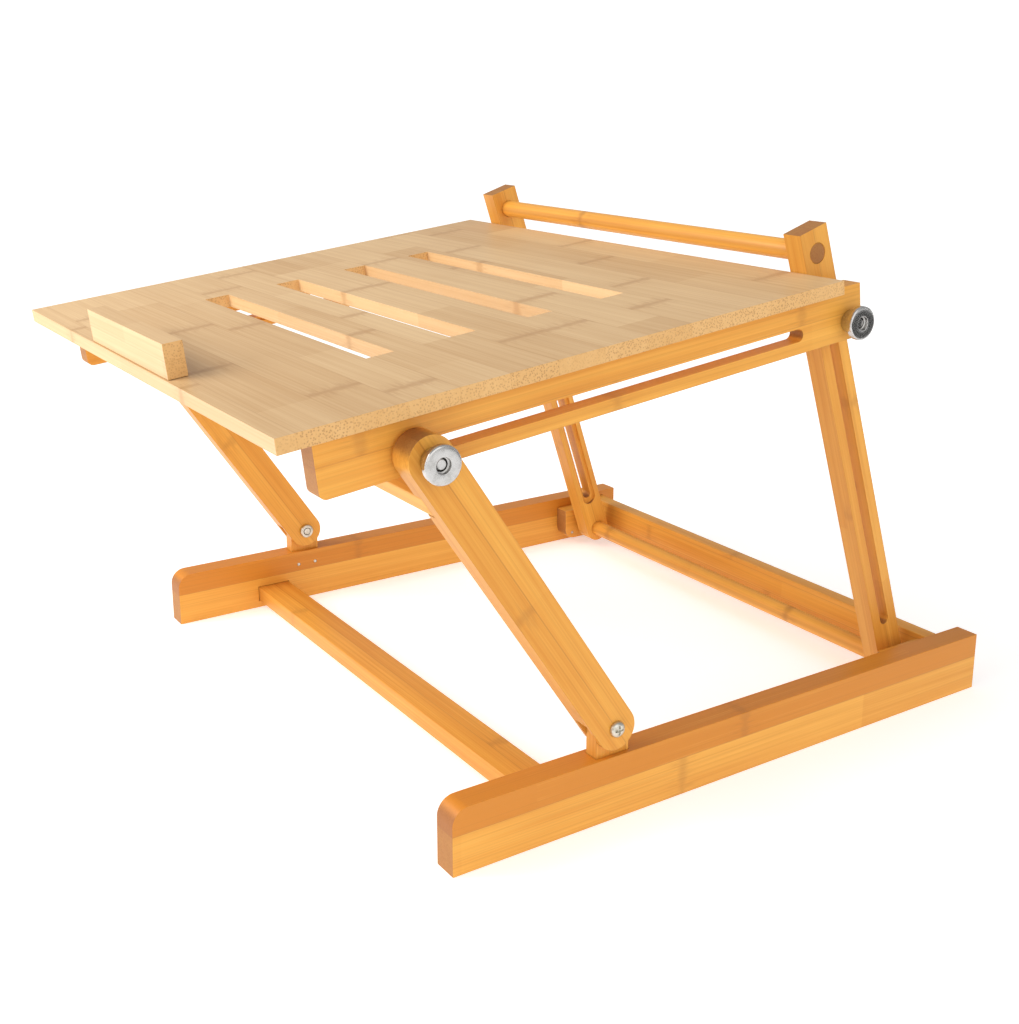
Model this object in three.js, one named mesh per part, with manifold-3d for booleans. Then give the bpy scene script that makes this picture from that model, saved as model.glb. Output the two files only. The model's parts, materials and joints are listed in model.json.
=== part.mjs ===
// Adjustable laptop stand in laminated bamboo.
// Units are millimetres. +X is to the right seen from the front, +Y runs to the back, +Z is up.
// The origin is on the floor, midway between the front edge of the platform and the rear of the base.
import * as THREE from "three";
import { mergeVertices } from "three/addons/utils/BufferGeometryUtils.js";
import Module from "manifold-3d";

const wasm = await Module();
wasm.setup();

// ---- driving dimensions ----

const GAP = 0.3; // between two pieces that meet
const CUT_MARGIN = 1; // how far a cutting solid runs past the face it opens

// base frame
const BASE_HALF_WIDTH = 202;
const BASE_LENGTH = 400;
const BASE_RAIL_THICKNESS = 15.5;
const BASE_RAIL_HEIGHT = 37.5;
const BASE_RAIL_NOSE_RADIUS = 10;
const HOUSING_DEPTH = 5; // shallow housings in the rails that hold the cross pieces
const SLAT_THICKNESS = 11;
const FRONT_SLAT_START = 62;
const FRONT_SLAT_WIDTH = 24.5;
const CROSS_PIECE_LIFT = 5; // cross pieces clear the floor by this much
const CROSSBAR_REAR = 387.3;
const CROSSBAR_HEIGHT = 28.2;

// pivot blocks for the legs
const BLOCK_THICKNESS = 13;
const BLOCK_START = 338.5;
const BLOCK_TOP = 30;
const BLOCK_CORNER_RADIUS = 9;
const BLOCK_SOCKET_DEPTH = 9;

// rear legs
const LEG_PIVOT_Y = 359;
const LEG_PIVOT_Z = 16.7;
const LEG_LEAN = THREE.MathUtils.degToRad(18.3);
const LEG_WIDTH = 21.5;
const LEG_THICKNESS = 13.3;
const LEG_OUTER_X = 168.3;
const LEG_RISE = 305; // from the pivot to the top end
const LEG_SLOT_START = 33.5; // lower end arc's centre, from the pivot
const LEG_SLOT_END = 262;
const LEG_SLOT_WIDTH = 7.2;
const RECESS_WIDTH = 13; // counter slot for the bolt heads
const RECESS_DEPTH = 2.5;
const RECESS_OVERRUN = 2;
const DOWEL_RADIUS = 6;
const TOP_DOWEL_STATION = 290.3;
const LEG_BOLT_STATION = 250; // where the rear bolts are clamped

// front arms
const ARM_PIVOT_Y = 102.4;
const ARM_PIVOT_Z = 53.7;
const ARM_LEAN = THREE.MathUtils.degToRad(33.67);
const ARM_LENGTH = 200; // from the lower pivot to the bolt
const ARM_WIDTH = 24.5;
const FORK_DEPTH = 14; // of the fork, from the pivot upwards
const TONGUE_THICKNESS = 9;
const TONGUE_WIDTH = 21.7;
const TENON_DEPTH = 20; // of the tongue inside the rail
const BRACE_STATION = 170.5; // lower edge of the brace, along the arm
const BRACE_WIDTH = 12.5;
const BRACE_THICKNESS = 9;
const BRACE_TENON = 6;

// platform
const PANEL_HALF_WIDTH = 197.5;
const PANEL_DEPTH = 345.6;
const PANEL_THICKNESS = 8;
const VENT_START = 89.2;
const VENT_PITCH = 50.3;
const VENT_WIDTH = 16.2;
const VENT_HALF_LENGTH = 112.5;
const VENT_COUNT = 4;
const PLATFORM_RAIL_OUTER_X = 183.5;
const PLATFORM_RAIL_THICKNESS = 13;
const PLATFORM_RAIL_HEIGHT = 31.8;
const PLATFORM_RAIL_START = 22.4;
const PLATFORM_RAIL_END = 373;
const PLATFORM_RAIL_CORNER = 4;
const RAIL_SLOT_DEPTH = 28.95; // slot's middle below the panel's top face
const RAIL_SLOT_WIDTH = 7.5;
const RAIL_SLOT_START = 67.7;
const RAIL_SLOT_END = 323;
const FRONT_BOLT_STATION = 72.2; // along the platform, at rest
const LIP_LENGTH = 127;
const LIP_THICKNESS = 10.9;
const LIP_HEIGHT = 19.4;
const LIP_SETBACK = 1;
const LIP_SCREW_X = 42;

// hardware
const BOLT_RADIUS = 2.9;
const BOLT_HOLE_RADIUS = 3.3;
const BOLT_HEAD_RADIUS = 5.7;
const BOLT_HEAD_HEIGHT = 2.2;
const BOLT_CROWN_RADIUS = 3.4; // flat middle of the bolt's head
const BOLT_CROWN_RISE = 0.9;
const KNOB_RADIUS = 9.8;
const KNOB_HUB_RADIUS = 6.6; // where the hub meets the wood
const KNOB_NECK_RADIUS = 8.2; // where the hub meets the flange
const KNOB_LENGTH = 10.6;
const KNOB_FLANGE = 3.8;
const KNOB_SOCKET_RADIUS = 4;
const KNOB_SOCKET_DEPTH = 2.2;
const KNOB_CHAMFER = 0.8;
const WASHER_RADIUS = 8.5;
const PIVOT_SCREW_RADIUS = 2.5;
const PIVOT_HOLE_RADIUS = 2.8;
const PIVOT_HEAD_RADIUS = 4.6;
const PIVOT_HEAD_HEIGHT = 2.6;
const PIVOT_HEAD_WALL = 1; // straight part of the head's side
const PIVOT_HEAD_SHOULDER_RADIUS = 4;
const PIVOT_HEAD_SHOULDER = 1.9;
const PIVOT_HEAD_CROWN_RADIUS = 2.5;
const CROSS_RECESS_LENGTH = 5;
const CROSS_RECESS_WIDTH = 1;
const CROSS_RECESS_FLOOR = 1.1; // above the head's underside
const PIVOT_NUT_RADIUS = 5;
const PIVOT_NUT_HEIGHT = 2.4;
const BRAD_RADIUS = 1.2;
const BRAD_LENGTH = 10;
const TONGUE_BRAD_INSET = 4; // from the tongue's edges
const BLOCK_BRAD_INSET = 7; // from the block's front end
const BLOCK_BRAD_LIFT = 5; // from the block's underside
const LIP_SCREW_RADIUS = 1.8;
const LIP_SCREW_HEAD_RADIUS = 3.6;
const LIP_SCREW_LENGTH = 20;
const LIP_SCREW_RIM = 0.6; // straight part of the head's side
const LIP_SCREW_HEAD_DEPTH = 3;
const LIP_SCREW_POINT = 3;

const ARC_STEPS = 8; // facets in a quarter round
const ROUND_SIDES = 28; // sides of a round piece
const SMALL_ROUND_SIDES = 16;

// ---- dimensions that follow ----

const RAIL_INNER_X = BASE_HALF_WIDTH - BASE_RAIL_THICKNESS;
const RAIL_MIDDLE_X = BASE_HALF_WIDTH - BASE_RAIL_THICKNESS / 2;
const BLOCK_INNER_X = RAIL_INNER_X - GAP - BLOCK_THICKNESS;
const CROSSBAR_FRONT = CROSSBAR_REAR - SLAT_THICKNESS;
const LEG_INNER_X = LEG_OUTER_X - LEG_THICKNESS;
const PLATFORM_RAIL_INNER_X = PLATFORM_RAIL_OUTER_X - PLATFORM_RAIL_THICKNESS;

const rearBolt = new THREE.Vector2(
  LEG_PIVOT_Y - LEG_BOLT_STATION * Math.sin(LEG_LEAN),
  LEG_PIVOT_Z + LEG_BOLT_STATION * Math.cos(LEG_LEAN),
);
const frontBolt = new THREE.Vector2(
  ARM_PIVOT_Y - ARM_LENGTH * Math.sin(ARM_LEAN),
  ARM_PIVOT_Z + ARM_LENGTH * Math.cos(ARM_LEAN),
);
const boltSpan = rearBolt.clone().sub(frontBolt);
const PLATFORM_TILT = boltSpan.angle();
const REAR_BOLT_STATION = FRONT_BOLT_STATION + boltSpan.length();
const PLATFORM_FRONT_Y =
  frontBolt.x - FRONT_BOLT_STATION * Math.cos(PLATFORM_TILT) - RAIL_SLOT_DEPTH * Math.sin(PLATFORM_TILT);
const PLATFORM_FRONT_Z =
  frontBolt.y - FRONT_BOLT_STATION * Math.sin(PLATFORM_TILT) + RAIL_SLOT_DEPTH * Math.cos(PLATFORM_TILT);

// ---- finishes ----

/** A MeshStandardMaterial of one colour. */
function finish(color, roughness, metalness) {
  return new THREE.MeshStandardMaterial({ color, roughness, metalness });
}

const FRAME_BAMBOO = () => finish(0xd99a4e, 0.55, 0);
const PANEL_BAMBOO = () => finish(0xdcb787, 0.5, 0);
const NICKEL = () => finish(0xc9c9c6, 0.25, 1);
const ZINC = () => finish(0xb9b49a, 0.35, 1);

// ---- solids ----

/** A closed three.js geometry as a solid that can be joined and cut. */
function solid(geometry) {
  const bare = geometry.clone();
  bare.deleteAttribute("normal");
  bare.deleteAttribute("uv");
  const merged = mergeVertices(bare, 1e-4);
  const mesh = new wasm.Mesh({
    numProp: 3,
    vertProperties: Float32Array.from(merged.attributes.position.array),
    triVerts: Uint32Array.from(merged.index.array),
  });
  return new wasm.Manifold(mesh);
}

/** A solid back as a three.js geometry. */
function surface(manifold) {
  const mesh = manifold.getMesh();
  const geometry = new THREE.BufferGeometry();
  geometry.setAttribute("position", new THREE.BufferAttribute(mesh.vertProperties, 3));
  geometry.setIndex(new THREE.BufferAttribute(mesh.triVerts, 1));
  geometry.computeVertexNormals();
  return geometry;
}

/** The geometry with every tool geometry cut away from it. */
function cut(geometry, tools) {
  return surface(tools.reduce((body, tool) => body.subtract(solid(tool)), solid(geometry)));
}

/** The geometries joined into one. */
function join(geometries) {
  return surface(geometries.map(solid).reduce((body, other) => body.add(other)));
}

/** A box between two corners, each [x, y, z]. */
function block(low, high) {
  const size = high.map((value, axis) => value - low[axis]);
  const middle = high.map((value, axis) => (value + low[axis]) / 2);
  return new THREE.BoxGeometry(...size).translate(...middle);
}

/** A cylinder along X between x0 and x1, with its axis through (y, z). */
function rodX(radius, x0, x1, y, z, sides = ROUND_SIDES) {
  return new THREE.CylinderGeometry(radius, radius, x1 - x0, sides)
    .rotateZ(-Math.PI / 2)
    .translate((x0 + x1) / 2, y, z);
}

/** An outline in the Y-Z plane, extruded along X from x0 to x1. */
function prismX(outline, x0, x1) {
  const geometry = new THREE.ExtrudeGeometry(outline, {
    depth: x1 - x0,
    bevelEnabled: false,
    curveSegments: ARC_STEPS,
  });
  const turned = new THREE.Matrix4().makeBasis(
    new THREE.Vector3(0, 1, 0),
    new THREE.Vector3(0, 0, 1),
    new THREE.Vector3(1, 0, 0),
  );
  return geometry.applyMatrix4(turned).translate(x0, 0, 0);
}

/** A rectangle whose corners have their own radii, from the lower left one anticlockwise. */
function roundedRectangle(u0, v0, u1, v1, [lowerLeft, lowerRight, upperRight, upperLeft]) {
  const outline = new THREE.Shape();
  const corner = (u, v, radius, from) => {
    if (radius > 0) outline.absarc(u, v, radius, from, from + Math.PI / 2);
    else outline.lineTo(u, v);
  };
  outline.moveTo(u0 + lowerLeft, v0);
  corner(u1 - lowerRight, v0 + lowerRight, lowerRight, -Math.PI / 2);
  corner(u1 - upperRight, v1 - upperRight, upperRight, 0);
  corner(u0 + upperLeft, v1 - upperLeft, upperLeft, Math.PI / 2);
  corner(u0 + lowerLeft, v0 + lowerLeft, lowerLeft, Math.PI);
  return outline;
}

/** A slot outline with round ends, along the second axis at u, between the end arcs' centres. */
function uprightSlot(u, v0, v1, width) {
  const r = width / 2;
  return roundedRectangle(u - r, v0 - r, u + r, v1 + r, [r, r, r, r]);
}

/** A slot outline with round ends, along the first axis at v, between the end arcs' centres. */
function levelSlot(u0, u1, v, width) {
  const r = width / 2;
  return roundedRectangle(u0 - r, v - r, u1 + r, v + r, [r, r, r, r]);
}

/** A profile of [radius, height] points turned about an axis, then laid along +X from x0. */
function turnedX(profile, x0, y, z, sides = ROUND_SIDES) {
  const points = profile.map(([radius, height]) => new THREE.Vector2(radius, height));
  return new THREE.LatheGeometry(points, sides).rotateZ(-Math.PI / 2).translate(x0, y, z);
}

/** A turned piece with a hole through it: the profile closes on itself, off the axis. */
function ringX(outer, inner, x0, x1, y, z, sides = ROUND_SIDES) {
  const length = x1 - x0;
  const profile = [
    [inner, 0],
    [outer, 0],
    [outer, length],
    [inner, length],
    [inner, 0],
  ];
  return turnedX(profile, x0, y, z, sides);
}

/** The geometry mirrored to the left side, with its faces still pointing out. */
function mirrored(geometry) {
  const other = geometry.clone().scale(-1, 1, 1);
  const index = other.index ? other.index.array : [...Array(other.attributes.position.count).keys()];
  const flipped = Array.from(index);
  for (let i = 0; i < flipped.length; i += 3) {
    [flipped[i], flipped[i + 1]] = [flipped[i + 1], flipped[i]];
  }
  other.setIndex(flipped);
  return other;
}

/** One named piece in a group. */
function piece(group, name, geometry, material) {
  const mesh = new THREE.Mesh(geometry, material);
  mesh.name = name;
  group.add(mesh);
}

/** The same piece on both sides: the geometry given is the right one. */
function pair(group, name, geometry, material) {
  piece(group, `${name}_right`, geometry, material());
  piece(group, `${name}_left`, mirrored(geometry), material());
}

// ---- base frame ----

/** A base rail on edge, with its housings, tongue mortise and brad holes. */
function baseRail() {
  const nose = BASE_RAIL_NOSE_RADIUS;
  const body = prismX(
    roundedRectangle(0, 0, BASE_LENGTH, BASE_RAIL_HEIGHT, [0, 0, 0, nose]),
    RAIL_INNER_X,
    BASE_HALF_WIDTH,
  );
  const housingFace = RAIL_INNER_X - CUT_MARGIN;
  const housingBack = RAIL_INNER_X + HOUSING_DEPTH + GAP;
  const slatHousing = block(
    [housingFace, FRONT_SLAT_START - GAP, CROSS_PIECE_LIFT - GAP],
    [housingBack, FRONT_SLAT_START + FRONT_SLAT_WIDTH + GAP, CROSS_PIECE_LIFT + SLAT_THICKNESS + GAP],
  );
  const crossbarHousing = block(
    [housingFace, CROSSBAR_FRONT - GAP, CROSS_PIECE_LIFT - GAP],
    [housingBack, CROSSBAR_REAR + GAP, CROSS_PIECE_LIFT + CROSSBAR_HEIGHT + GAP],
  );
  const halfTongue = TONGUE_THICKNESS / 2 + GAP;
  const mortise = block(
    [RAIL_MIDDLE_X - halfTongue, ARM_PIVOT_Y - TONGUE_WIDTH / 2 - GAP, BASE_RAIL_HEIGHT - TENON_DEPTH - GAP],
    [RAIL_MIDDLE_X + halfTongue, ARM_PIVOT_Y + TONGUE_WIDTH / 2 + GAP, BASE_RAIL_HEIGHT + CUT_MARGIN],
  );
  const holes = bradPlaces().map(([y, z]) =>
    bradHole(RAIL_INNER_X - CUT_MARGIN, RAIL_INNER_X + BRAD_LENGTH + GAP, [y, z]),
  );
  return cut(body, [slatHousing, crossbarHousing, mortise, ...holes]);
}

/** Where the two brads through a tongue's tenon are, as [y, z]. */
function bradPlaces() {
  const offset = TONGUE_WIDTH / 2 - TONGUE_BRAD_INSET;
  const height = BASE_RAIL_HEIGHT - TENON_DEPTH / 2;
  return [
    [ARM_PIVOT_Y - offset, height],
    [ARM_PIVOT_Y + offset, height],
  ];
}

/** The tongue that carries an arm: round on top, tenoned into the rail below. */
function armTongue() {
  const half = TONGUE_WIDTH / 2;
  const outline = roundedRectangle(
    ARM_PIVOT_Y - half,
    BASE_RAIL_HEIGHT - TENON_DEPTH,
    ARM_PIVOT_Y + half,
    ARM_PIVOT_Z + half,
    [0, 0, half, half],
  );
  const x0 = RAIL_MIDDLE_X - TONGUE_THICKNESS / 2;
  const x1 = RAIL_MIDDLE_X + TONGUE_THICKNESS / 2;
  const pivotHole = rodX(PIVOT_HOLE_RADIUS, x0 - CUT_MARGIN, x1 + CUT_MARGIN, ARM_PIVOT_Y, ARM_PIVOT_Z);
  const bradHoles = bradPlaces().map(([y, z]) =>
    bradHole(x0 - CUT_MARGIN, RAIL_INNER_X + BRAD_LENGTH + GAP, [y, z]),
  );
  return cut(prismX(outline, x0, x1), [pivotHole, ...bradHoles]);
}

/** The block on the rail's inner face that the leg's lower dowel turns in. */
function pivotBlock() {
  const outline = roundedRectangle(BLOCK_START, CROSS_PIECE_LIFT, CROSSBAR_FRONT - GAP, BLOCK_TOP, [
    BLOCK_CORNER_RADIUS,
    0,
    0,
    0,
  ]);
  const socket = rodX(
    DOWEL_RADIUS + GAP,
    BLOCK_INNER_X - CUT_MARGIN,
    BLOCK_INNER_X + BLOCK_SOCKET_DEPTH,
    LEG_PIVOT_Y,
    LEG_PIVOT_Z,
  );
  const hole = bradHole(BLOCK_INNER_X - CUT_MARGIN, BLOCK_INNER_X + BRAD_LENGTH + GAP, blockBradPlace());
  return cut(prismX(outline, BLOCK_INNER_X, RAIL_INNER_X - GAP), [socket, hole]);
}

/** Where a pivot block's brad is, as [y, z]. */
function blockBradPlace() {
  return [BLOCK_START + BLOCK_BRAD_INSET, CROSS_PIECE_LIFT + BLOCK_BRAD_LIFT];
}

/** A brad driven along X from its head at x0. */
function brad(x0, [y, z]) {
  return rodX(BRAD_RADIUS, x0, x0 + BRAD_LENGTH, y, z, SMALL_ROUND_SIDES);
}

/** The clearance hole for a brad, along X from x0 to x1. */
function bradHole(x0, x1, [y, z]) {
  return rodX(BRAD_RADIUS + GAP / 2, x0, x1, y, z, SMALL_ROUND_SIDES);
}

/** The pan head screw that an arm turns on, with its cross recess. */
function pivotScrew() {
  const head = BASE_HALF_WIDTH + GAP;
  const tip = RAIL_INNER_X - GAP - PIVOT_NUT_HEIGHT;
  const dome = [
    [0, 0],
    [PIVOT_HEAD_RADIUS, 0],
    [PIVOT_HEAD_RADIUS, PIVOT_HEAD_WALL],
    [PIVOT_HEAD_SHOULDER_RADIUS, PIVOT_HEAD_SHOULDER],
    [PIVOT_HEAD_CROWN_RADIUS, PIVOT_HEAD_HEIGHT],
    [0, PIVOT_HEAD_HEIGHT],
  ];
  const shank = rodX(PIVOT_SCREW_RADIUS, tip, head + CUT_MARGIN / 2, ARM_PIVOT_Y, ARM_PIVOT_Z);
  const cap = turnedX(dome, head, ARM_PIVOT_Y, ARM_PIVOT_Z);
  const recess = [
    [CROSS_RECESS_LENGTH, CROSS_RECESS_WIDTH],
    [CROSS_RECESS_WIDTH, CROSS_RECESS_LENGTH],
  ].map(([length, width]) =>
    block(
      [head + CROSS_RECESS_FLOOR, ARM_PIVOT_Y - length / 2, ARM_PIVOT_Z - width / 2],
      [head + PIVOT_HEAD_HEIGHT + CUT_MARGIN, ARM_PIVOT_Y + length / 2, ARM_PIVOT_Z + width / 2],
    ),
  );
  return cut(join([shank, cap]), recess);
}

/** The round nut on the inner end of a pivot screw. */
function pivotNut() {
  const x1 = RAIL_INNER_X - GAP;
  return ringX(PIVOT_NUT_RADIUS, PIVOT_HOLE_RADIUS, x1 - PIVOT_NUT_HEIGHT, x1, ARM_PIVOT_Y, ARM_PIVOT_Z);
}

/** The whole base: rails, cross pieces, pivot blocks, tongues and their fixings. */
function base() {
  const group = new THREE.Group();
  const endX = RAIL_INNER_X + HOUSING_DEPTH;
  pair(group, "base_rail", baseRail(), FRAME_BAMBOO);
  piece(
    group,
    "front_slat",
    block(
      [-endX, FRONT_SLAT_START, CROSS_PIECE_LIFT],
      [endX, FRONT_SLAT_START + FRONT_SLAT_WIDTH, CROSS_PIECE_LIFT + SLAT_THICKNESS],
    ),
    FRAME_BAMBOO(),
  );
  piece(
    group,
    "rear_crossbar",
    block(
      [-endX, CROSSBAR_FRONT, CROSS_PIECE_LIFT],
      [endX, CROSSBAR_REAR, CROSS_PIECE_LIFT + CROSSBAR_HEIGHT],
    ),
    FRAME_BAMBOO(),
  );
  pair(group, "leg_pivot_block", pivotBlock(), FRAME_BAMBOO);
  pair(group, "arm_tongue", armTongue(), FRAME_BAMBOO);
  pair(group, "arm_pivot_screw", pivotScrew(), ZINC);
  pair(group, "arm_pivot_nut", pivotNut(), ZINC);
  bradPlaces().forEach((place, i) => pair(group, `tongue_brad_${i + 1}`, brad(RAIL_INNER_X, place), ZINC));
  pair(group, "block_brad", brad(BLOCK_INNER_X, blockBradPlace()), ZINC);
  return group;
}

// ---- hardware ----

/** A carriage bolt along X: a low round head at x0 and a plain shank to x1. */
function carriageBolt(x0, x1) {
  const profile = [
    [0, 0],
    [BOLT_CROWN_RADIUS, 0],
    [BOLT_HEAD_RADIUS, BOLT_CROWN_RISE],
    [BOLT_HEAD_RADIUS, BOLT_HEAD_HEIGHT],
    [BOLT_RADIUS, BOLT_HEAD_HEIGHT],
    [BOLT_RADIUS, x1 - x0],
    [0, x1 - x0],
  ];
  return turnedX(profile, x0, 0, 0);
}

/** A round clamping knob along X from x0: a tapered hub, a flange and an open socket. */
function knob(x0) {
  const hubEnd = KNOB_LENGTH - KNOB_FLANGE;
  const profile = [
    [BOLT_HOLE_RADIUS, 0],
    [KNOB_HUB_RADIUS, 0],
    [KNOB_NECK_RADIUS, hubEnd],
    [KNOB_RADIUS - KNOB_CHAMFER, hubEnd],
    [KNOB_RADIUS, hubEnd + KNOB_CHAMFER],
    [KNOB_RADIUS, KNOB_LENGTH - KNOB_CHAMFER],
    [KNOB_RADIUS - KNOB_CHAMFER, KNOB_LENGTH],
    [KNOB_SOCKET_RADIUS, KNOB_LENGTH],
    [KNOB_SOCKET_RADIUS, KNOB_LENGTH - KNOB_SOCKET_DEPTH],
    [BOLT_HOLE_RADIUS, KNOB_LENGTH - KNOB_SOCKET_DEPTH],
    [BOLT_HOLE_RADIUS, 0],
  ];
  return turnedX(profile, x0, 0, 0);
}

// ---- rear legs ----

/** A slotted leg: its lower end round on the pivot, a counter slot on its inner face. */
function leg() {
  const half = LEG_WIDTH / 2;
  const outline = roundedRectangle(-half, -half, half, LEG_RISE, [half, half, 0, 0]);
  const body = prismX(outline, LEG_INNER_X, LEG_OUTER_X);
  const slot = prismX(
    uprightSlot(0, LEG_SLOT_START, LEG_SLOT_END, LEG_SLOT_WIDTH),
    LEG_INNER_X - CUT_MARGIN,
    LEG_OUTER_X + CUT_MARGIN,
  );
  const recess = prismX(
    uprightSlot(0, LEG_SLOT_START - RECESS_OVERRUN, LEG_SLOT_END + RECESS_OVERRUN, RECESS_WIDTH),
    LEG_INNER_X - CUT_MARGIN,
    LEG_INNER_X + RECESS_DEPTH,
  );
  const dowelHoles = [0, TOP_DOWEL_STATION].map((z) =>
    rodX(DOWEL_RADIUS + GAP / 2, LEG_INNER_X - CUT_MARGIN, LEG_OUTER_X + CUT_MARGIN, 0, z),
  );
  return cut(body, [slot, recess, ...dowelHoles]);
}

/** Both legs with their dowels, about the lower dowel's axis. */
function rearLegs() {
  const group = new THREE.Group();
  const dowelEnd = BLOCK_INNER_X + BLOCK_SOCKET_DEPTH - GAP;
  pair(group, "rear_leg", leg(), FRAME_BAMBOO);
  const topDowel = rodX(DOWEL_RADIUS, -LEG_OUTER_X, LEG_OUTER_X, 0, TOP_DOWEL_STATION);
  piece(group, "top_dowel", topDowel, FRAME_BAMBOO());
  piece(group, "bottom_dowel", rodX(DOWEL_RADIUS, -dowelEnd, dowelEnd, 0, 0), FRAME_BAMBOO());
  group.position.set(0, LEG_PIVOT_Y, LEG_PIVOT_Z);
  group.rotation.x = LEG_LEAN;
  return group;
}

/** The rear bolts, their washers and their knobs, about the bolts' axis. */
function rearClamp() {
  const group = new THREE.Group();
  const knobStart = PLATFORM_RAIL_OUTER_X + GAP;
  const boltEnd = knobStart + KNOB_LENGTH - KNOB_SOCKET_DEPTH;
  pair(group, "rear_bolt", carriageBolt(LEG_INNER_X, boltEnd), NICKEL);
  pair(
    group,
    "rear_washer",
    ringX(WASHER_RADIUS, BOLT_HOLE_RADIUS, LEG_OUTER_X + GAP, PLATFORM_RAIL_INNER_X - GAP, 0, 0),
    ZINC,
  );
  pair(group, "rear_knob", knob(knobStart), NICKEL);
  group.position.set(0, rearBolt.x, rearBolt.y);
  return group;
}

// ---- front arms ----

/** An arm with round ends, forked at its foot to go over the tongue. */
function arm() {
  const half = ARM_WIDTH / 2;
  const outline = uprightSlot(0, 0, ARM_LENGTH, ARM_WIDTH);
  const forkHalf = TONGUE_THICKNESS / 2 + GAP;
  const fork = block(
    [RAIL_MIDDLE_X - forkHalf, -half - CUT_MARGIN, -half - CUT_MARGIN],
    [RAIL_MIDDLE_X + forkHalf, half + CUT_MARGIN, FORK_DEPTH],
  );
  const holeStart = RAIL_INNER_X - CUT_MARGIN;
  const holeEnd = BASE_HALF_WIDTH + CUT_MARGIN;
  const pivotHole = rodX(PIVOT_HOLE_RADIUS, holeStart, holeEnd, 0, 0);
  const boltHole = rodX(BOLT_HOLE_RADIUS, holeStart, holeEnd, 0, ARM_LENGTH);
  const braceMortise = block(
    [holeStart, -half - CUT_MARGIN, BRACE_STATION - GAP],
    [RAIL_INNER_X + BRACE_TENON + GAP, -half + BRACE_THICKNESS + GAP, BRACE_STATION + BRACE_WIDTH + GAP],
  );
  return cut(prismX(outline, RAIL_INNER_X, BASE_HALF_WIDTH), [fork, pivotHole, boltHole, braceMortise]);
}

/** Both arms with their brace, bolts, washers and knobs, about the lower pivot. */
function frontArms() {
  const group = new THREE.Group();
  const braceEnd = RAIL_INNER_X + BRACE_TENON;
  const front = -ARM_WIDTH / 2;
  const knobStart = BASE_HALF_WIDTH + GAP;
  const boltEnd = knobStart + KNOB_LENGTH - KNOB_SOCKET_DEPTH;
  pair(group, "front_arm", arm(), FRAME_BAMBOO);
  piece(
    group,
    "arm_brace",
    block([-braceEnd, front, BRACE_STATION], [braceEnd, front + BRACE_THICKNESS, BRACE_STATION + BRACE_WIDTH]),
    FRAME_BAMBOO(),
  );
  const raise = (geometry) => geometry.translate(0, 0, ARM_LENGTH);
  pair(group, "front_bolt", raise(carriageBolt(PLATFORM_RAIL_INNER_X, boltEnd)), NICKEL);
  pair(
    group,
    "front_washer",
    raise(ringX(WASHER_RADIUS, BOLT_HOLE_RADIUS, PLATFORM_RAIL_OUTER_X + GAP, RAIL_INNER_X - GAP, 0, 0)),
    ZINC,
  );
  pair(group, "front_knob", raise(knob(knobStart)), NICKEL);
  group.position.set(0, ARM_PIVOT_Y, ARM_PIVOT_Z);
  group.rotation.x = ARM_LEAN;
  return group;
}

// ---- platform, in its own frame: Y runs back along the top face from its front edge ----

/** The vented panel. */
function panel() {
  const body = block([-PANEL_HALF_WIDTH, 0, -PANEL_THICKNESS], [PANEL_HALF_WIDTH, PANEL_DEPTH, 0]);
  const vents = Array.from({ length: VENT_COUNT }, (_, i) => {
    const start = VENT_START + i * VENT_PITCH;
    return block(
      [-VENT_HALF_LENGTH, start, -PANEL_THICKNESS - CUT_MARGIN],
      [VENT_HALF_LENGTH, start + VENT_WIDTH, CUT_MARGIN],
    );
  });
  const screwHoles = [-LIP_SCREW_X, LIP_SCREW_X].map((x) => lipScrewShape(x, GAP / 2));
  return cut(body, [...vents, ...screwHoles]);
}

/** A countersunk screw up through the panel into the lip, made larger all round by grow. */
function lipScrewShape(x, grow) {
  const profile = [
    [0, -grow],
    [LIP_SCREW_HEAD_RADIUS + grow, -grow],
    [LIP_SCREW_HEAD_RADIUS + grow, LIP_SCREW_RIM],
    [LIP_SCREW_RADIUS + grow, LIP_SCREW_HEAD_DEPTH + grow],
    [LIP_SCREW_RADIUS + grow, LIP_SCREW_LENGTH - LIP_SCREW_POINT],
    [0, LIP_SCREW_LENGTH + grow],
  ];
  const points = profile.map(([radius, height]) => new THREE.Vector2(radius, height));
  return new THREE.LatheGeometry(points, SMALL_ROUND_SIDES)
    .rotateX(Math.PI / 2)
    .translate(x, LIP_SETBACK + LIP_THICKNESS / 2, -PANEL_THICKNESS);
}

/** The stop bar on the panel's front edge. */
function lip() {
  const body = block(
    [-LIP_LENGTH / 2, LIP_SETBACK, GAP],
    [LIP_LENGTH / 2, LIP_SETBACK + LIP_THICKNESS, LIP_HEIGHT],
  );
  return cut(body, [-LIP_SCREW_X, LIP_SCREW_X].map((x) => lipScrewShape(x, GAP / 2)));
}

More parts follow.
